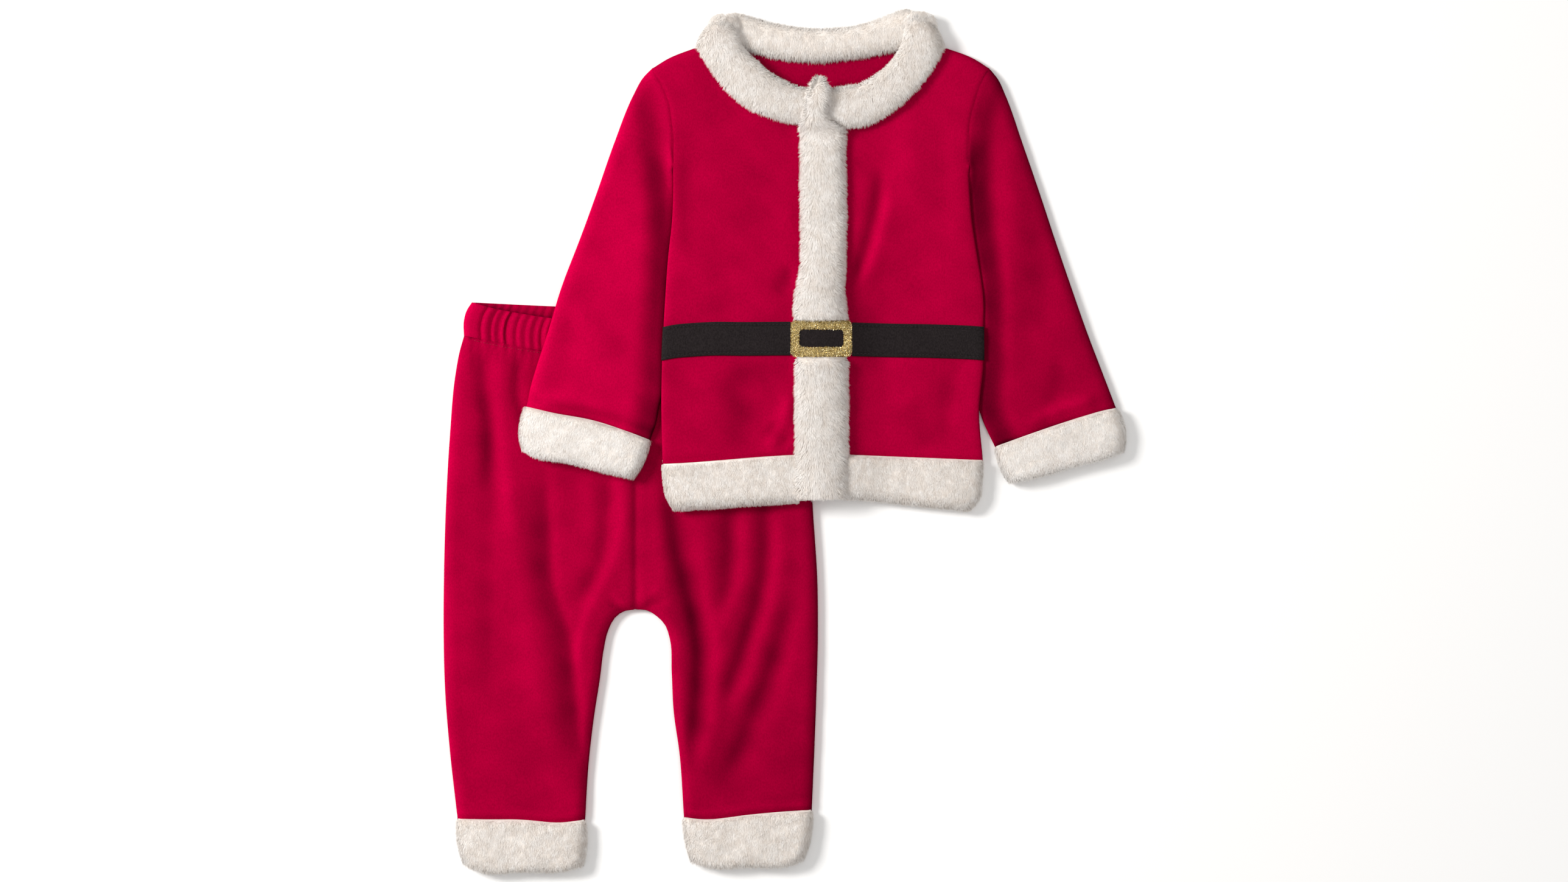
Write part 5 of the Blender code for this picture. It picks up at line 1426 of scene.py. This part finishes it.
def locks_of(place, size, random):
    """For each point in plan, the lock that it belongs to: the nearest of a grid's shaken corners.

    Returns that corner, and a number from 0 to 1 that is the lock's own.
    """
    cell = np.floor(place / size).astype(int)
    best = np.full(len(place), np.inf)
    centre = np.zeros((len(place), 2))
    shake = random.random((LOCK_GRID, LOCK_GRID, 2))
    for dx in (-1, 0, 1):
        for dy in (-1, 0, 1):
            near_cell = cell + (dx, dy)
            column, row = near_cell.T % LOCK_GRID
            spot = (near_cell + shake[column, row]) * size
            gap = ((place - spot) ** 2).sum(-1)
            closer = gap < best
            best = np.where(closer, gap, best)
            centre = np.where(closer[:, None], spot, centre)
    number = np.abs((centre[:, 0] * 12.9898 + centre[:, 1] * 78.233) * 43.7585)
    return centre, number % 1.0


LOCK_GRID = 64  # the shaking of the corners repeats after so many locks


def make_pile(name, outer, wrap, count, edges, comb, seed, kind, hidden=0.3, sink=0.9):
    """Fibres on a fur trim.

    Each starts a little below the trim's surface, rises along its normal and bends over along its lean. The
    lean is the way the pile is combed, plus the way out over each edge near it, plus a push that a whole lock
    shares. edges holds (path, strength, how far past it a fibre may reach). kind holds the pile's own sizes,
    hidden how thick the pile is underneath, and sink how deep the fibres are rooted, mm.
    """
    random = np.random.default_rng(seed)
    row, column = scattered(outer, wrap, count, hidden, random)
    start = on_grid(outer, row, column, wrap)
    normal = on_grid(grid_normals(outer, wrap), row, column, wrap)
    normal /= np.linalg.norm(normal, axis=-1, keepdims=True)
    plan = start[:, :2]
    layer = plan + 40 * (normal[:, 2:] < 0)  # the underside has locks of its own
    _, number = locks_of(layer, kind["lock"], random)
    centre, tuft = locks_of(layer * TUFT_STRETCH, TUFT_SHARE * kind["lock"], random)
    centre = centre / TUFT_STRETCH - layer + plan
    turn = 2 * np.pi * number
    lean = np.array(comb, float) + kind["stray"] * np.stack([np.cos(turn), np.sin(turn)], -1)
    lean += random.normal(0, FIBRE["own_lean"], (count, 2))
    long = kind["length"] * random.uniform(*FIBRE["lengths"], count)
    lift = np.full(count, kind["lift"])
    facing = np.zeros((count, 2))
    for path, strength, over in edges:
        distance, away = near(plan, path(np.linspace(0, 1, 100)))
        lean -= away * (strength * np.exp(-distance / kind["sweep"]))[:, None]
        if strength > 0:
            reach = np.maximum((distance + over) / 0.8, 0.9) * random.uniform(0.75, 1.25, count)
            long = np.minimum(long, reach)
        if over > 1:
            lift = np.maximum(lift, kind["lift"] + FIBRE["edge_lift"] * np.exp(-distance / 2.5))
            facing -= away * (kind["round"] * np.exp(-distance / 8))[:, None]
    lean = np.concatenate([lean, np.zeros((count, 1))], 1)
    lean -= normal * (lean * normal).sum(-1, keepdims=True)
    lean /= np.maximum(np.linalg.norm(lean, axis=-1, keepdims=True), 0.35)
    long, lift = long[:, None], lift[:, None]
    root = start - normal * np.minimum(sink, 0.5 * long)
    (rise_1, run_1), (rise_2, run_2) = FIBRE["lower"], FIBRE["upper"]
    middle = root + long * (rise_1 * lift * normal + run_1 * lean)
    tip = middle + long * (rise_2 * lift * normal + run_2 * lean)
    drawn_in = np.concatenate([centre - plan, np.zeros((count, 1))], 1) * (normal[:, 2:] > 0.3)
    tip += kind["gather"] * drawn_in
    side = np.cross(tip - root, normal)
    side /= np.maximum(np.linalg.norm(side, axis=-1, keepdims=True), 1e-9)
    side += normal * random.normal(0, FIBRE["twist"], (count, 1))
    half = kind["half_width"] * random.uniform(*FIBRE["widths"], (count, 1))
    points = np.stack([root, middle - side * half, middle + side * half, tip], 1)
    points[..., 2] = np.maximum(points[..., 2], FLOOR_GAP)
    faces = (np.arange(count)[:, None, None] * 4 + np.array([[0, 2, 1], [1, 2, 3]])).reshape(-1, 3)
    along = np.tile([0.2, 0.6, 0.6, 1.0], count)
    low, high = kind["tone"]
    by_lock, by_tuft, own = FIBRE["tone_from"]
    place = by_lock * number + by_tuft * tuft + own * random.random(count)
    tone = np.repeat(low + (high - low) * place, 4)
    made = new_mesh(name, points.reshape(-1, 3), faces, FUR, tip=along, lock=tone)
    facing = np.concatenate([facing, np.zeros((count, 1))], 1) * (normal[:, 2:] > 0)
    shading = np.repeat(normal + facing + random.normal(0, FIBRE["glitter"], (count, 3)), 4, 0)
    shading /= np.linalg.norm(shading, axis=-1, keepdims=True)
    made.data.normals_split_custom_set_from_vertices(shading)
    return made


FIBRE = dict(
    own_lean=0.16,  # how far each fibre leans its own way
    lengths=(0.7, 1.15),  # shortest and longest, as shares of the kind's length
    widths=(0.7, 1.3),
    edge_lift=0.45,  # how much more steeply it stands at an edge that it reaches past
    lower=(1.0, 0.36),  # rise and run of its lower half, for its length
    upper=(0.3, 0.46),  # and of its upper half, which is bent over
    twist=0.2,
    tone_from=(0.1, 0.4, 0.5),  # how much of its tone is its lock's, its tuft's and its own
    glitter=0.1,  # how far its shading differs from the skin's
)
TUFT_STRETCH = (1.0, 0.7)  # tufts are longer down the suit than across it
TUFT_SHARE = 0.42  # and smaller than a lock
FLOOR_GAP = 0.15  # fibres stop this far above the floor


def plain_fur(points):
    """The fur's numbers for a surface of backing: halfway up the pile, and of a middling tone."""
    return dict(tip=np.full(points.shape[:2], 0.5), lock=np.full(points.shape[:2], 0.5))


def backing(name, outer, inner, wrap, inset=0.6):
    """The trim under its pile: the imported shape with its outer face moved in, softly lumpy."""
    x, y = outer[..., 0], outer[..., 1]
    lumps = 0.35 * np.sin(x * 0.45 + 2 * np.sin(y * 0.21)) * np.sin(y * 0.4 + 1.7 * np.sin(x * 0.17))
    skin = outer - grid_normals(outer, wrap) * (inset + lumps)[..., None]
    skin[..., 2] = np.maximum(skin[..., 2], 0.1)
    return wall(name, skin, inner, FUR, wrap=wrap, **plain_fur(outer))


PLUSH = dict(  # the sleeves' cuffs: short and brushed
    length=3.6,  # of a fibre, mm
    lift=0.17,  # how steeply it stands
    lock=6.0,  # width of a lock, mm
    stray=0.10,  # how far a lock leans its own way
    gather=0.2,  # how far its tips draw together
    half_width=0.12,  # half the width of a fibre, mm
    sweep=3.0,  # how far in from an edge the pile turns out over it, mm
    round=0.35,  # how far the shading turns out with it
    tone=(0.65, 1.0),  # the darkest and the palest fibre
)
HEM_PLUSH = dict(PLUSH, tone=(0.2, 1.0))  # the hem's and the legs' fibres differ more, and run darker
SHAGGY = dict(PLUSH, length=5.2, lift=0.2, stray=0.15, gather=0.3, sweep=4.5, round=0.6, tone=(0.25, 1.0))
BAND_SHAGGY = dict(SHAGGY, length=6.5, stray=0.2, round=0.7, tone=(0.35, 1.0))
FIBRES_PER_MM2 = 6.0
FUR_GAP = 1.5 * SEAM  # between a fur trim and the velour that it is sewn to

# %% [markdown]
# **Cuffs.** Each is a thick flattened ring. Its pile hangs towards the open end, past which the fibres reach,
# and is short along the seam, where it only just covers the stitches.

# %% Cuffs of the sleeves and legs
def end_roll(plan, routes, drops, reach):
    """How far a thick fur wall rounds down towards its cut ends."""
    return sum(drop * (1 - roll(distance_to(route, plan) / reach)) for route, drop in zip(routes, drops))


def fur_trim(name, node, walls, wrap, share, edges, comb, seed, kind):
    """A backing with its pile, as the sheet that stands for a node. share is of the usual number of fibres."""
    outer, inner = walls
    base = backing(f"fur_{name}", outer, inner, wrap)
    count = int(cut_of(outer, wrap)[1] * 1e6 * FIBRES_PER_MM2 * share)
    pile = make_pile(f"pile_{name}", outer, wrap, count, edges, comb, seed, kind)
    sheet(node, [pile])


def fur_ring(name, paths, routes, lifted, seed):
    """A fur cuff from its seam, its open end and its two turned sides."""
    seam, open_end, outside, inside = paths
    plan = between(paths, *spread("cuff", FUR_ACROSS, FUR_ALONG))
    rims = [rim(route, CUFF_FOLD, FUR_REACH, FUR_SIDE) for route in routes]
    puff = 0.5 * waves(plan[..., 0] * 1.7, plan[..., 1] * 1.7, 2.2)
    top = FUR_LAID + puff - end_roll(plan, (seam, open_end), (4.0, 3.0), 5.0)
    front = wall_points(plan, rims, top, FUR_LAID - FUR_FRONT, lifted, butt_rows=(0, -1))
    back = wall_points(plan, rims, 0.0, FUR_BACK, lifted, butt_rows=(0, -1))
    hang = open_end(0.5) - seam(0.5)
    comb = 0.7 * hang / np.linalg.norm(hang)
    edges = [(open_end, 1.2, 2.2), (outside, 0.4, 2.0), (inside, 0.4, 2.0)]
    kind = PLUSH if lifted else HEM_PLUSH
    fur_trim(name, name, ring(front, back), True, 0.62, edges, comb, seed, kind)


def make_cuff(side, seed):
    """Fur round a sleeve's end."""
    turned = OUTWARD[side]
    seam, open_end = beside(traced(CUFFS, side), turned * FUR_GAP), traced(CUFFS, side + "_open")
    outside = bulging(seam(0), open_end(0), -turned * CUFF_BULGE[side][0])
    inside = bulging(seam(1), open_end(1), turned * CUFF_BULGE[side][1])
    paths = (seam, open_end, outside, inside)
    fur_ring(f"cuff_{side}", paths, cloth_on_left(side, outside, inside), True, seed)


def make_leg_cuff(side, seed):
    """Fur round a trouser leg's end."""
    seam, open_end = beside(traced(LEG_CUFFS, side), -FUR_GAP), traced(LEG_CUFFS, side + "_open")
    west = bulging(seam(0), open_end(0), LEG_CUFF_BULGE[side][0])
    east = bulging(seam(1), open_end(1), -LEG_CUFF_BULGE[side][1])
    fur_ring(f"leg_cuff_{side}", (seam, open_end, west, east), (west, reverse(east)), False, seed)


for k, side in enumerate(SIDES):
    make_cuff(side, 11 + k)
    make_leg_cuff(side, 21 + k)

# %% [markdown]
# **Collar.** A standing collar pressed flat: its front lies over its back, and it turns at both shoulders. Its
# fibres lean out over both edges, up over the opening and down over the velour.

# %% Collar
def turn_pile(name, centre, seed):
    """Fibres over one of the collar's turns: they grow on a low dome, which bridges the front and the back."""
    share, angle = np.meshgrid(np.linspace(0.02, 1, 10), np.linspace(0, 2 * np.pi, 25), indexing="ij")
    x = centre[0] + TURN_DOME["half_width"] * share * np.cos(angle)
    y = centre[1] + TURN_DOME["half_length"] * share * np.sin(angle)
    dome = np.stack([x, y, TURN_DOME["top"] - TURN_DOME["falls"] * share**2], -1)
    return make_pile(name, dome, False, TURN_DOME["fibres"], [], (0.0, -0.5), seed, SHAGGY, hidden=1.0)


def make_collar(fibres=56000, fibres_inside=20000):
    """The collar as one flattened ring."""
    front_low, back_low = beside(traced(NECK_FRONT), -SEAM), beside(traced(NECK_BACK), 4 * SEAM)
    front_free, back_free = traced(FREE_FRONT), traced(FREE_BACK)
    low_west = (NECK_FRONT["x"][0] + SEAM, NECK_FRONT["y"][0] + 4 * SEAM)
    low_east = (NECK_FRONT["x"][-1] - SEAM, NECK_FRONT["y"][-1] + 4 * SEAM)
    west = bulging(low_west, front_free(0), -COLLAR_BULGE)
    east = bulging(low_east, front_free(1), COLLAR_BULGE)
    u, v = spread("collar", FUR_ACROSS, FUR_ALONG)
    front = between((front_low, front_free, west, east), u, v)
    back = between((back_low, back_free, west, east), u, v)
    rims = [rim(route, COLLAR_FOLD, FUR_REACH, COLLAR_WALL * 0.7) for route in (reverse(west), east)]
    top = COLLAR_LAID + waves(front[..., 0], front[..., 1], 1.2)
    top = top - end_roll(front, (front_low, front_free), (4.0, 4.0), 6.0)
    inside_back = COLLAR_WALL - end_roll(back, (back_low, back_free), (2.5, 4.0), 6.0)
    front_walls = wall_points(front, rims, top, COLLAR_LAID - COLLAR_WALL, False, butt_rows=(0, -1))
    back_walls = wall_points(back, rims, 0.0, inside_back, False, butt_rows=(0, -1))
    outer, inner = ring(front_walls, back_walls)
    base = backing("fur_collar", outer, inner, True)
    edges = [
        (front_free, 0.9, 1.6),
        (front_low, 1.2, 1.8),
        (west, 0.5, 2.0),
        (east, 0.5, 2.0),
        (back_free, 0.8, 2.0),
    ]
    piles = [make_pile("pile_collar", outer, True, fibres, edges, (0.05, -0.5), 31, SHAGGY, hidden=0.4)]
    edges = [(back_free, 1.2, 1.2), (back_low, 1.3, 3.4)]
    facing = back_walls[1]
    piles.append(make_pile("pile_collar_inside", facing, False, fibres_inside, edges, (0.0, -0.5), 32, SHAGGY))
    for k, (side, centre) in enumerate(COLLAR_TURNS.items()):
        piles.append(turn_pile(f"pile_collar_turn_{side}", centre, 33 + k))
    sheet("collar", piles)


TURN_DOME = dict(half_width=12.0, half_length=9.0, top=13.5, falls=4.5, fibres=3500)
make_collar()

# %% [markdown]
# **Hem.** Its fronts lie on its back, like the jacket's own walls, and the pile turns over the free edge.

# %% Hem
def make_hem_front(side, seed):
    """Fur along the bottom edge of one front, from the side seam to the fur band."""
    edge = traced(HEM_EDGE)
    number = SIDES.index(side)  # 0 where the free edge begins, at the left side seam, and 1 where it ends
    inner_x = HEM_MEETS_BAND[side]
    corner, meets = share_at(edge, 0, HEM_CORNERS[number]), share_at(edge, 0, inner_x)
    start_x, centre_y = edge(float(number))[0], HEM_SEAM_Y[1] - FUR_GAP
    slope = (HEM_SEAM_Y[1] - HEM_SEAM_Y[0]) / (BODY_CENTRE - start_x)
    seam = line((start_x, HEM_SEAM_Y[0] - FUR_GAP), (inner_x, centre_y - slope * (BODY_CENTRE - inner_x)))
    bottom, down = part_of(edge, corner, meets), part_of(edge, float(number), corner)
    paths = (seam, bottom, down, line(seam(1), edge(meets)))
    plan = between(paths, *spread("hem_front", FUR_ACROSS, FUR_ALONG))
    plan[..., 1] -= seam_sag(plan[..., 0], plan[..., 1])
    rims = [rim(edge, HEM_SEAM + 2 * SEAM, FUR_REACH, FUR_SIDE * 0.7)]
    top = FUR_LAID + waves(plan[..., 0], plan[..., 1], 1.2) - end_roll(plan, (seam,), (4.0,), 6.0)
    walls = wall_points(plan, rims, top, FUR_LAID - HEM_FRONT)
    edges = [(bottom, 1.2, 2.2), (down, 0.7, 1.4)]
    node = f"hem_front_{side}"
    fur_trim(f"hem_{side}", node, walls, False, 1.0, edges, (0.12, -0.7), seed, HEM_PLUSH)


def make_hem_back(seed, fibres=8000):
    """Fur along the bottom edge of the back, with pile where its edge shows past the fronts."""
    edge = traced(HEM_EDGE)
    low, high = (share_at(edge, 0, x) for x in HEM_CORNERS)
    seam = line(edge(0) - (0, FUR_GAP), edge(1) - (0, FUR_GAP))
    bottom = part_of(edge, low, high)
    paths = (seam, bottom, part_of(edge, 0, low), part_of(edge, 1, high))
    plan = between(paths, *spread("hem_back", UNSEEN, (3.0, 1.0)))
    rims = [rim(edge, HEM_SEAM - 2 * SEAM, FUR_REACH, FUR_SIDE * 0.7)]
    under, upper = wall_points(plan, rims, 0.0, HEM_BACK)
    base = wall("fur_hem_back", under + (0, 0, 0.3), upper, FUR, **plain_fur(plan))
    edges, last_rows = [(bottom, 1.5, 1.2)], upper[-7:]
    pile = make_pile("pile_hem_back", last_rows, False, fibres, edges, (0.0, -1.5), seed, HEM_PLUSH)
    sheet("hem_back", [pile])


HEM_MEETS_BAND = dict(left=STRIP_LEFT + 0.4, right=STRIP_RIGHT - 3.0)  # X where each front's fur ends
make_hem_back(43)
for k, side in enumerate(SIDES):
    make_hem_front(side, 41 + k)

# %% [markdown]
# **Front band.** Fur down the closing in two stretches, above and below the buckle. The upper one ends in the
# narrow tip of the under flap, which lies over the collar.

# %% Front band
def on_front(x, y, above=SEAM + LAY_GAP):
    """Height above the jacket's upper face, away from its rims."""
    return LAID + front_relief(x, y) + rise(x, y) + above


def make_strip(name, points, seed):
    """A stretch of the fur band, piled highest along its middle, from its sides and its extra height by Y."""
    y = points["y"]
    fine_y = y[0] + (y[-1] - y[0]) * crowded(y[-1] - y[0], *FUR_ALONG)
    values = (points["left"] + STRIP_SHIFT["left"], points["right"] + STRIP_SHIFT["right"], points["extra"])
    left, right, extra = (np.interp(fine_y, y, value)[:, None] for value in values)
    shares = crowded(ABOUT["strip"][0], *FUR_ALONG)
    x = left + (right - left) * shares
    y = np.broadcast_to(fine_y[:, None], x.shape)
    from_side = np.minimum(shares, 1 - shares) * (right - left)
    from_end = np.minimum(y - y.min(), y.max() - y)
    pile = STRIP_PILE * (0.3 + 0.7 * roll(from_side / 6) * roll(from_end / 5))
    base = on_front(x, y) + extra
    outer = np.stack([x, y, base + pile + waves(x, y, 1.3) * roll(from_side / 6)], -1)
    inner = np.stack([x, y, base], -1)
    even, at_rows = np.linspace(0, 1, 40), np.linspace(0, 1, len(fine_y))
    side_y = np.linspace(fine_y[0], fine_y[-1], 40)
    sides = [curve(np.interp(even, at_rows, side_x[:, 0]), side_y) for side_x in (left, right)]
    ends = [line((left[k, 0], fine_y[k]), (right[k, 0], fine_y[k])) for k in (0, -1)]
    edges = [(side, 1.5, 2.8) for side in sides] + [(end, 0.5, 0.8) for end in ends]
    fur_trim(name, name, (outer, inner), False, 0.9, edges, (0.15, -0.7), seed, BAND_SHAGGY)


STRIP_SHIFT = dict(left=-0.9, right=-2.2)  # from the band's edges to its backing's: the pile reaches on
free_edge = traced(HEM_EDGE)
band_end = free_edge(share_at(free_edge, 0, BODY_CENTRE))[1] - SEAM
lower_band = table(
    "y left right extra",
    (band_end, STRIP_LEFT, STRIP_RIGHT, 0.0),
    (BUCKLE["low"] - SEAM, STRIP_LEFT, STRIP_RIGHT, 0.0),
)
make_strip("band_upper", BAND_EDGES, 51)
make_strip("band_lower", lower_band, 52)

# %% [markdown]
# ## Belt and buckle
#
# The belt is a strip of charcoal velour, folded under at its edges and topstitched 2 mm in from both. It is
# sewn over the fronts, so it follows their height. The buckle is flat: a frame cut from tinsel cloth.

# %% Belt
BELT_EDGES = dict(low=(59.4, 62.4), high=(84.2, 87.2))  # Y at the side seams and at the body's centre
BELT_Y = 72.0  # halfway up it, at the side
STITCH_INSET = 2.2
STITCH_PITCH = 2.6
STITCHED = 90.0  # length of each row of stitches
CHANNEL = dict(depth=0.55, width=0.7)  # where the stitches pull the cloth down
BELT_BOW = dict(  # places from the side seam to the buckle, and how far up the belt bows there
    left=((0, 0.07, 0.19, 0.31, 0.5, 0.75, 1), (-0.3, 1.1, 2.0, 2.4, 1.7, 1.2, 0.5)),
    right=((0, 0.07, 0.2, 0.33, 0.53, 0.8, 1), (0.1, 0.5, 0.8, 0.9, 0.7, 0.6, 0.5)),
)


def belt_frame(side):
    """For a place along the belt (0 at the side seam, 1 at the buckle) and across it: X, Y and the height."""
    stop = BUCKLE["left"] - SEAM if side == "left" else BUCKLE["right"] + SEAM
    edge = body_side(side)
    side_x = edge(BELT_Y)

    def at(s, t):
        share_in = (stop - side_x) * s / (BODY_CENTRE - side_x)
        low, high = (first + (last - first) * share_in for first, last in BELT_EDGES.values())
        y = low + (high - low) * t + smooth(share_in, *np.array(BELT_BOW[side]))
        x = edge(y) + (stop - edge(y)) * s
        from_side = np.abs(x - edge(y))
        seam_drop = (LAID - SIDE_SEAM - SEAM / 2) * (1 - roll(from_side / FRONT_REACH))
        return x, y, on_front(x, y) - seam_drop

    return at


def make_belt(side):
    """Half of the belt, with its stitched channels, and the row of stitches along each edge."""
    at = belt_frame(side)
    s, t = np.meshgrid(crowded(94, 2.0), crowded(BELT_WIDTH, 1.2, 0.5), indexing="xy")
    x, y, z = at(s, t)
    from_edge = np.minimum(t, 1 - t) * BELT_WIDTH
    channel = CHANNEL["depth"] * bell(from_edge, CHANNEL["width"], STITCH_INSET)
    edge_roll = 0.8 * (1 - roll(from_edge / 1.2))
    puff = 0.25 * waves(x * 1.5, y * 1.5)
    height = BELT_WALL - channel - edge_roll + puff * roll(from_edge / 5)
    over = np.zeros_like(x)
    over[:, :1] = OUTWARD[side] * 0.5  # its end turns in over the side seam
    outer = np.stack([x + over, y, z + height], -1)
    inner = np.stack([x, y, z], -1)
    # Painted shade in the stitched channels and at the rolled edges.
    nap = nap_of(outer, 0.5, -3.0 * channel - edge_roll)
    made = wall(f"velour_belt_{side}", outer, inner, CHARCOAL, nap=nap)
    sheet(f"belt_{side}")
    count = int(STITCHED / STITCH_PITCH)
    middles = (np.arange(count) + 0.5) / count
    for edge_name, across in (("low", STITCH_INSET / BELT_WIDTH), ("high", 1 - STITCH_INSET / BELT_WIDTH)):
        ends = [np.stack(at(middles + step, across), -1) for step in (-0.36 / count, 0.36 / count)]
        for end in ends:
            end[:, 2] += BELT_WALL - 0.45
        make_stitches(f"stitches_belt_{side}_{edge_name}", *ends, 0.32, THREAD, "charcoal_velour")


def make_belt_centre():
    """The belt's velour inside the buckle."""
    s, t = np.meshgrid(crowded(31, 2.0), crowded(12, 1.5))
    x = WINDOW["left"] + SEAM + s * (WINDOW["right"] - WINDOW["left"] - 2 * SEAM)
    y = WINDOW["low"] + SEAM + t * (WINDOW["high"] - WINDOW["low"] - 2 * SEAM)
    z = on_front(x, y)
    outer = np.stack([x, y, z + 0.5], -1)
    made = wall("velour_belt_centre", outer, np.stack([x, y, z], -1), CHARCOAL, nap=np.full(x.shape, 0.5))
    sheet("belt_centre")


for side in SIDES:
    make_belt(side)
make_belt_centre()

# %% Buckle
def rounded_rectangle(box, radius, per_corner=6, per_side=12):
    """Points round a rectangle with round corners, anticlockwise from the right side's upper end."""
    low_x, high_x = box["left"] + radius, box["right"] - radius
    low_y, high_y = box["low"] + radius, box["high"] - radius
    corners = []
    for quarter, (x, y) in enumerate(((high_x, high_y), (low_x, high_y), (low_x, low_y), (high_x, low_y))):
        angle = np.pi / 2 * (quarter + np.linspace(0, 1, per_corner))
        corners.append(np.stack([x + radius * np.cos(angle), y + radius * np.sin(angle)], -1))
    points = []
    for here, following in zip(corners, corners[1:] + corners[:1]):
        straight = np.linspace(here[-1], following[0], per_side + 2)[1:-1]
        points += [here, straight]
    return np.concatenate(points)


def make_buckle():
    """The frame cut from tinsel cloth, as a low ring, with its foil threads."""
    around = rounded_rectangle(BUCKLE, 2 * BUCKLE_CORNER)
    window = rounded_rectangle(WINDOW, 1.5 * BUCKLE_CORNER)
    inward = np.linspace(0, 1, 9)[:, None, None]
    plan = around * (1 - inward) + window * inward
    base = on_front(plan[..., 0], plan[..., 1])
    round_part = 0.55 + 0.45 * np.sqrt(np.clip(1 - (2 * inward[..., 0] - 1) ** 6, 0, 1))
    outer = np.concatenate([plan, (base + round_part * (BUCKLE_WALL - FOIL_REACH))[..., None]], -1)
    inner = np.concatenate([plan, base[..., None]], -1)
    made = wall("tinsel_buckle", outer, inner, GOLD, wrap=True, lock=np.full(plan.shape[:2], 0.15))
    sheet("buckle_frame", [foil_threads(outer)])


def foil_threads(outer, count=14000, seed=61):
    """Short foil threads that curl out of the tinsel cloth at all angles, each a narrow strip with a point."""
    random = np.random.default_rng(seed)
    row, column = scattered(outer, True, count, 1.0, random)
    start = on_grid(outer, row, column, True)
    heading = random.uniform(0, 2 * np.pi, count)
    lift = random.uniform(0.05, 0.75, count)
    ahead = np.stack([np.cos(heading) * np.cos(lift), np.sin(heading) * np.cos(lift), np.sin(lift)], -1)
    side = np.cross(ahead, (0.0, 0.0, 1.0)) + random.normal(0, 0.35, (count, 3))
    side /= np.linalg.norm(side, axis=-1, keepdims=True)
    long = random.uniform(0.6, 1.4, (count, 1))
    half = side * random.uniform(0.07, 0.13, (count, 1))
    middle = start + ahead * long * 0.55
    tip = middle + (ahead * (1, 1, -0.2)) * long * 0.45
    points = np.stack([start - half, start + half, middle - half, middle + half, tip], 1)
    first = np.arange(count)[:, None, None] * 5
    faces = (first + np.array([[0, 1, 3], [0, 3, 2], [2, 3, 4]])).reshape(-1, 3)
    # each thread's painted glint
    glint = np.repeat(random.random(count), 5)
    return new_mesh("tinsel_threads", points.reshape(-1, 3), faces, GOLD, lock=glint)


FOIL_REACH = 0.8  # how far the threads stand out from the cloth
make_buckle()

# %% [markdown]
# ## Last
#
# The floor is a plain pale sheet just below the cloth.

# %% Floor and finish
FLOOR_HALF, FLOOR_Z = 6.0, -0.0004
corners = [(x * FLOOR_HALF, y * FLOOR_HALF, FLOOR_Z) for x, y in ((-1, -1), (1, -1), (1, 1), (-1, 1))]
floor_mesh = bpy.data.meshes.new("floor")
floor_mesh.from_pydata(corners, [], [(0, 1, 2, 3)])
floor_mesh.materials.append(PAPER)
floor = bpy.data.objects.new("floor", floor_mesh)
scene.collection.objects.link(floor)
floor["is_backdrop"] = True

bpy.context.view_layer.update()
meshes = [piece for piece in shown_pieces() if piece.type == "MESH"]
triangles = {piece.name: sum(len(p.vertices) - 2 for p in piece.data.polygons) for piece in meshes}
print("triangles:", sum(triangles.values()), "largest:", max(triangles.items(), key=lambda item: item[1]))
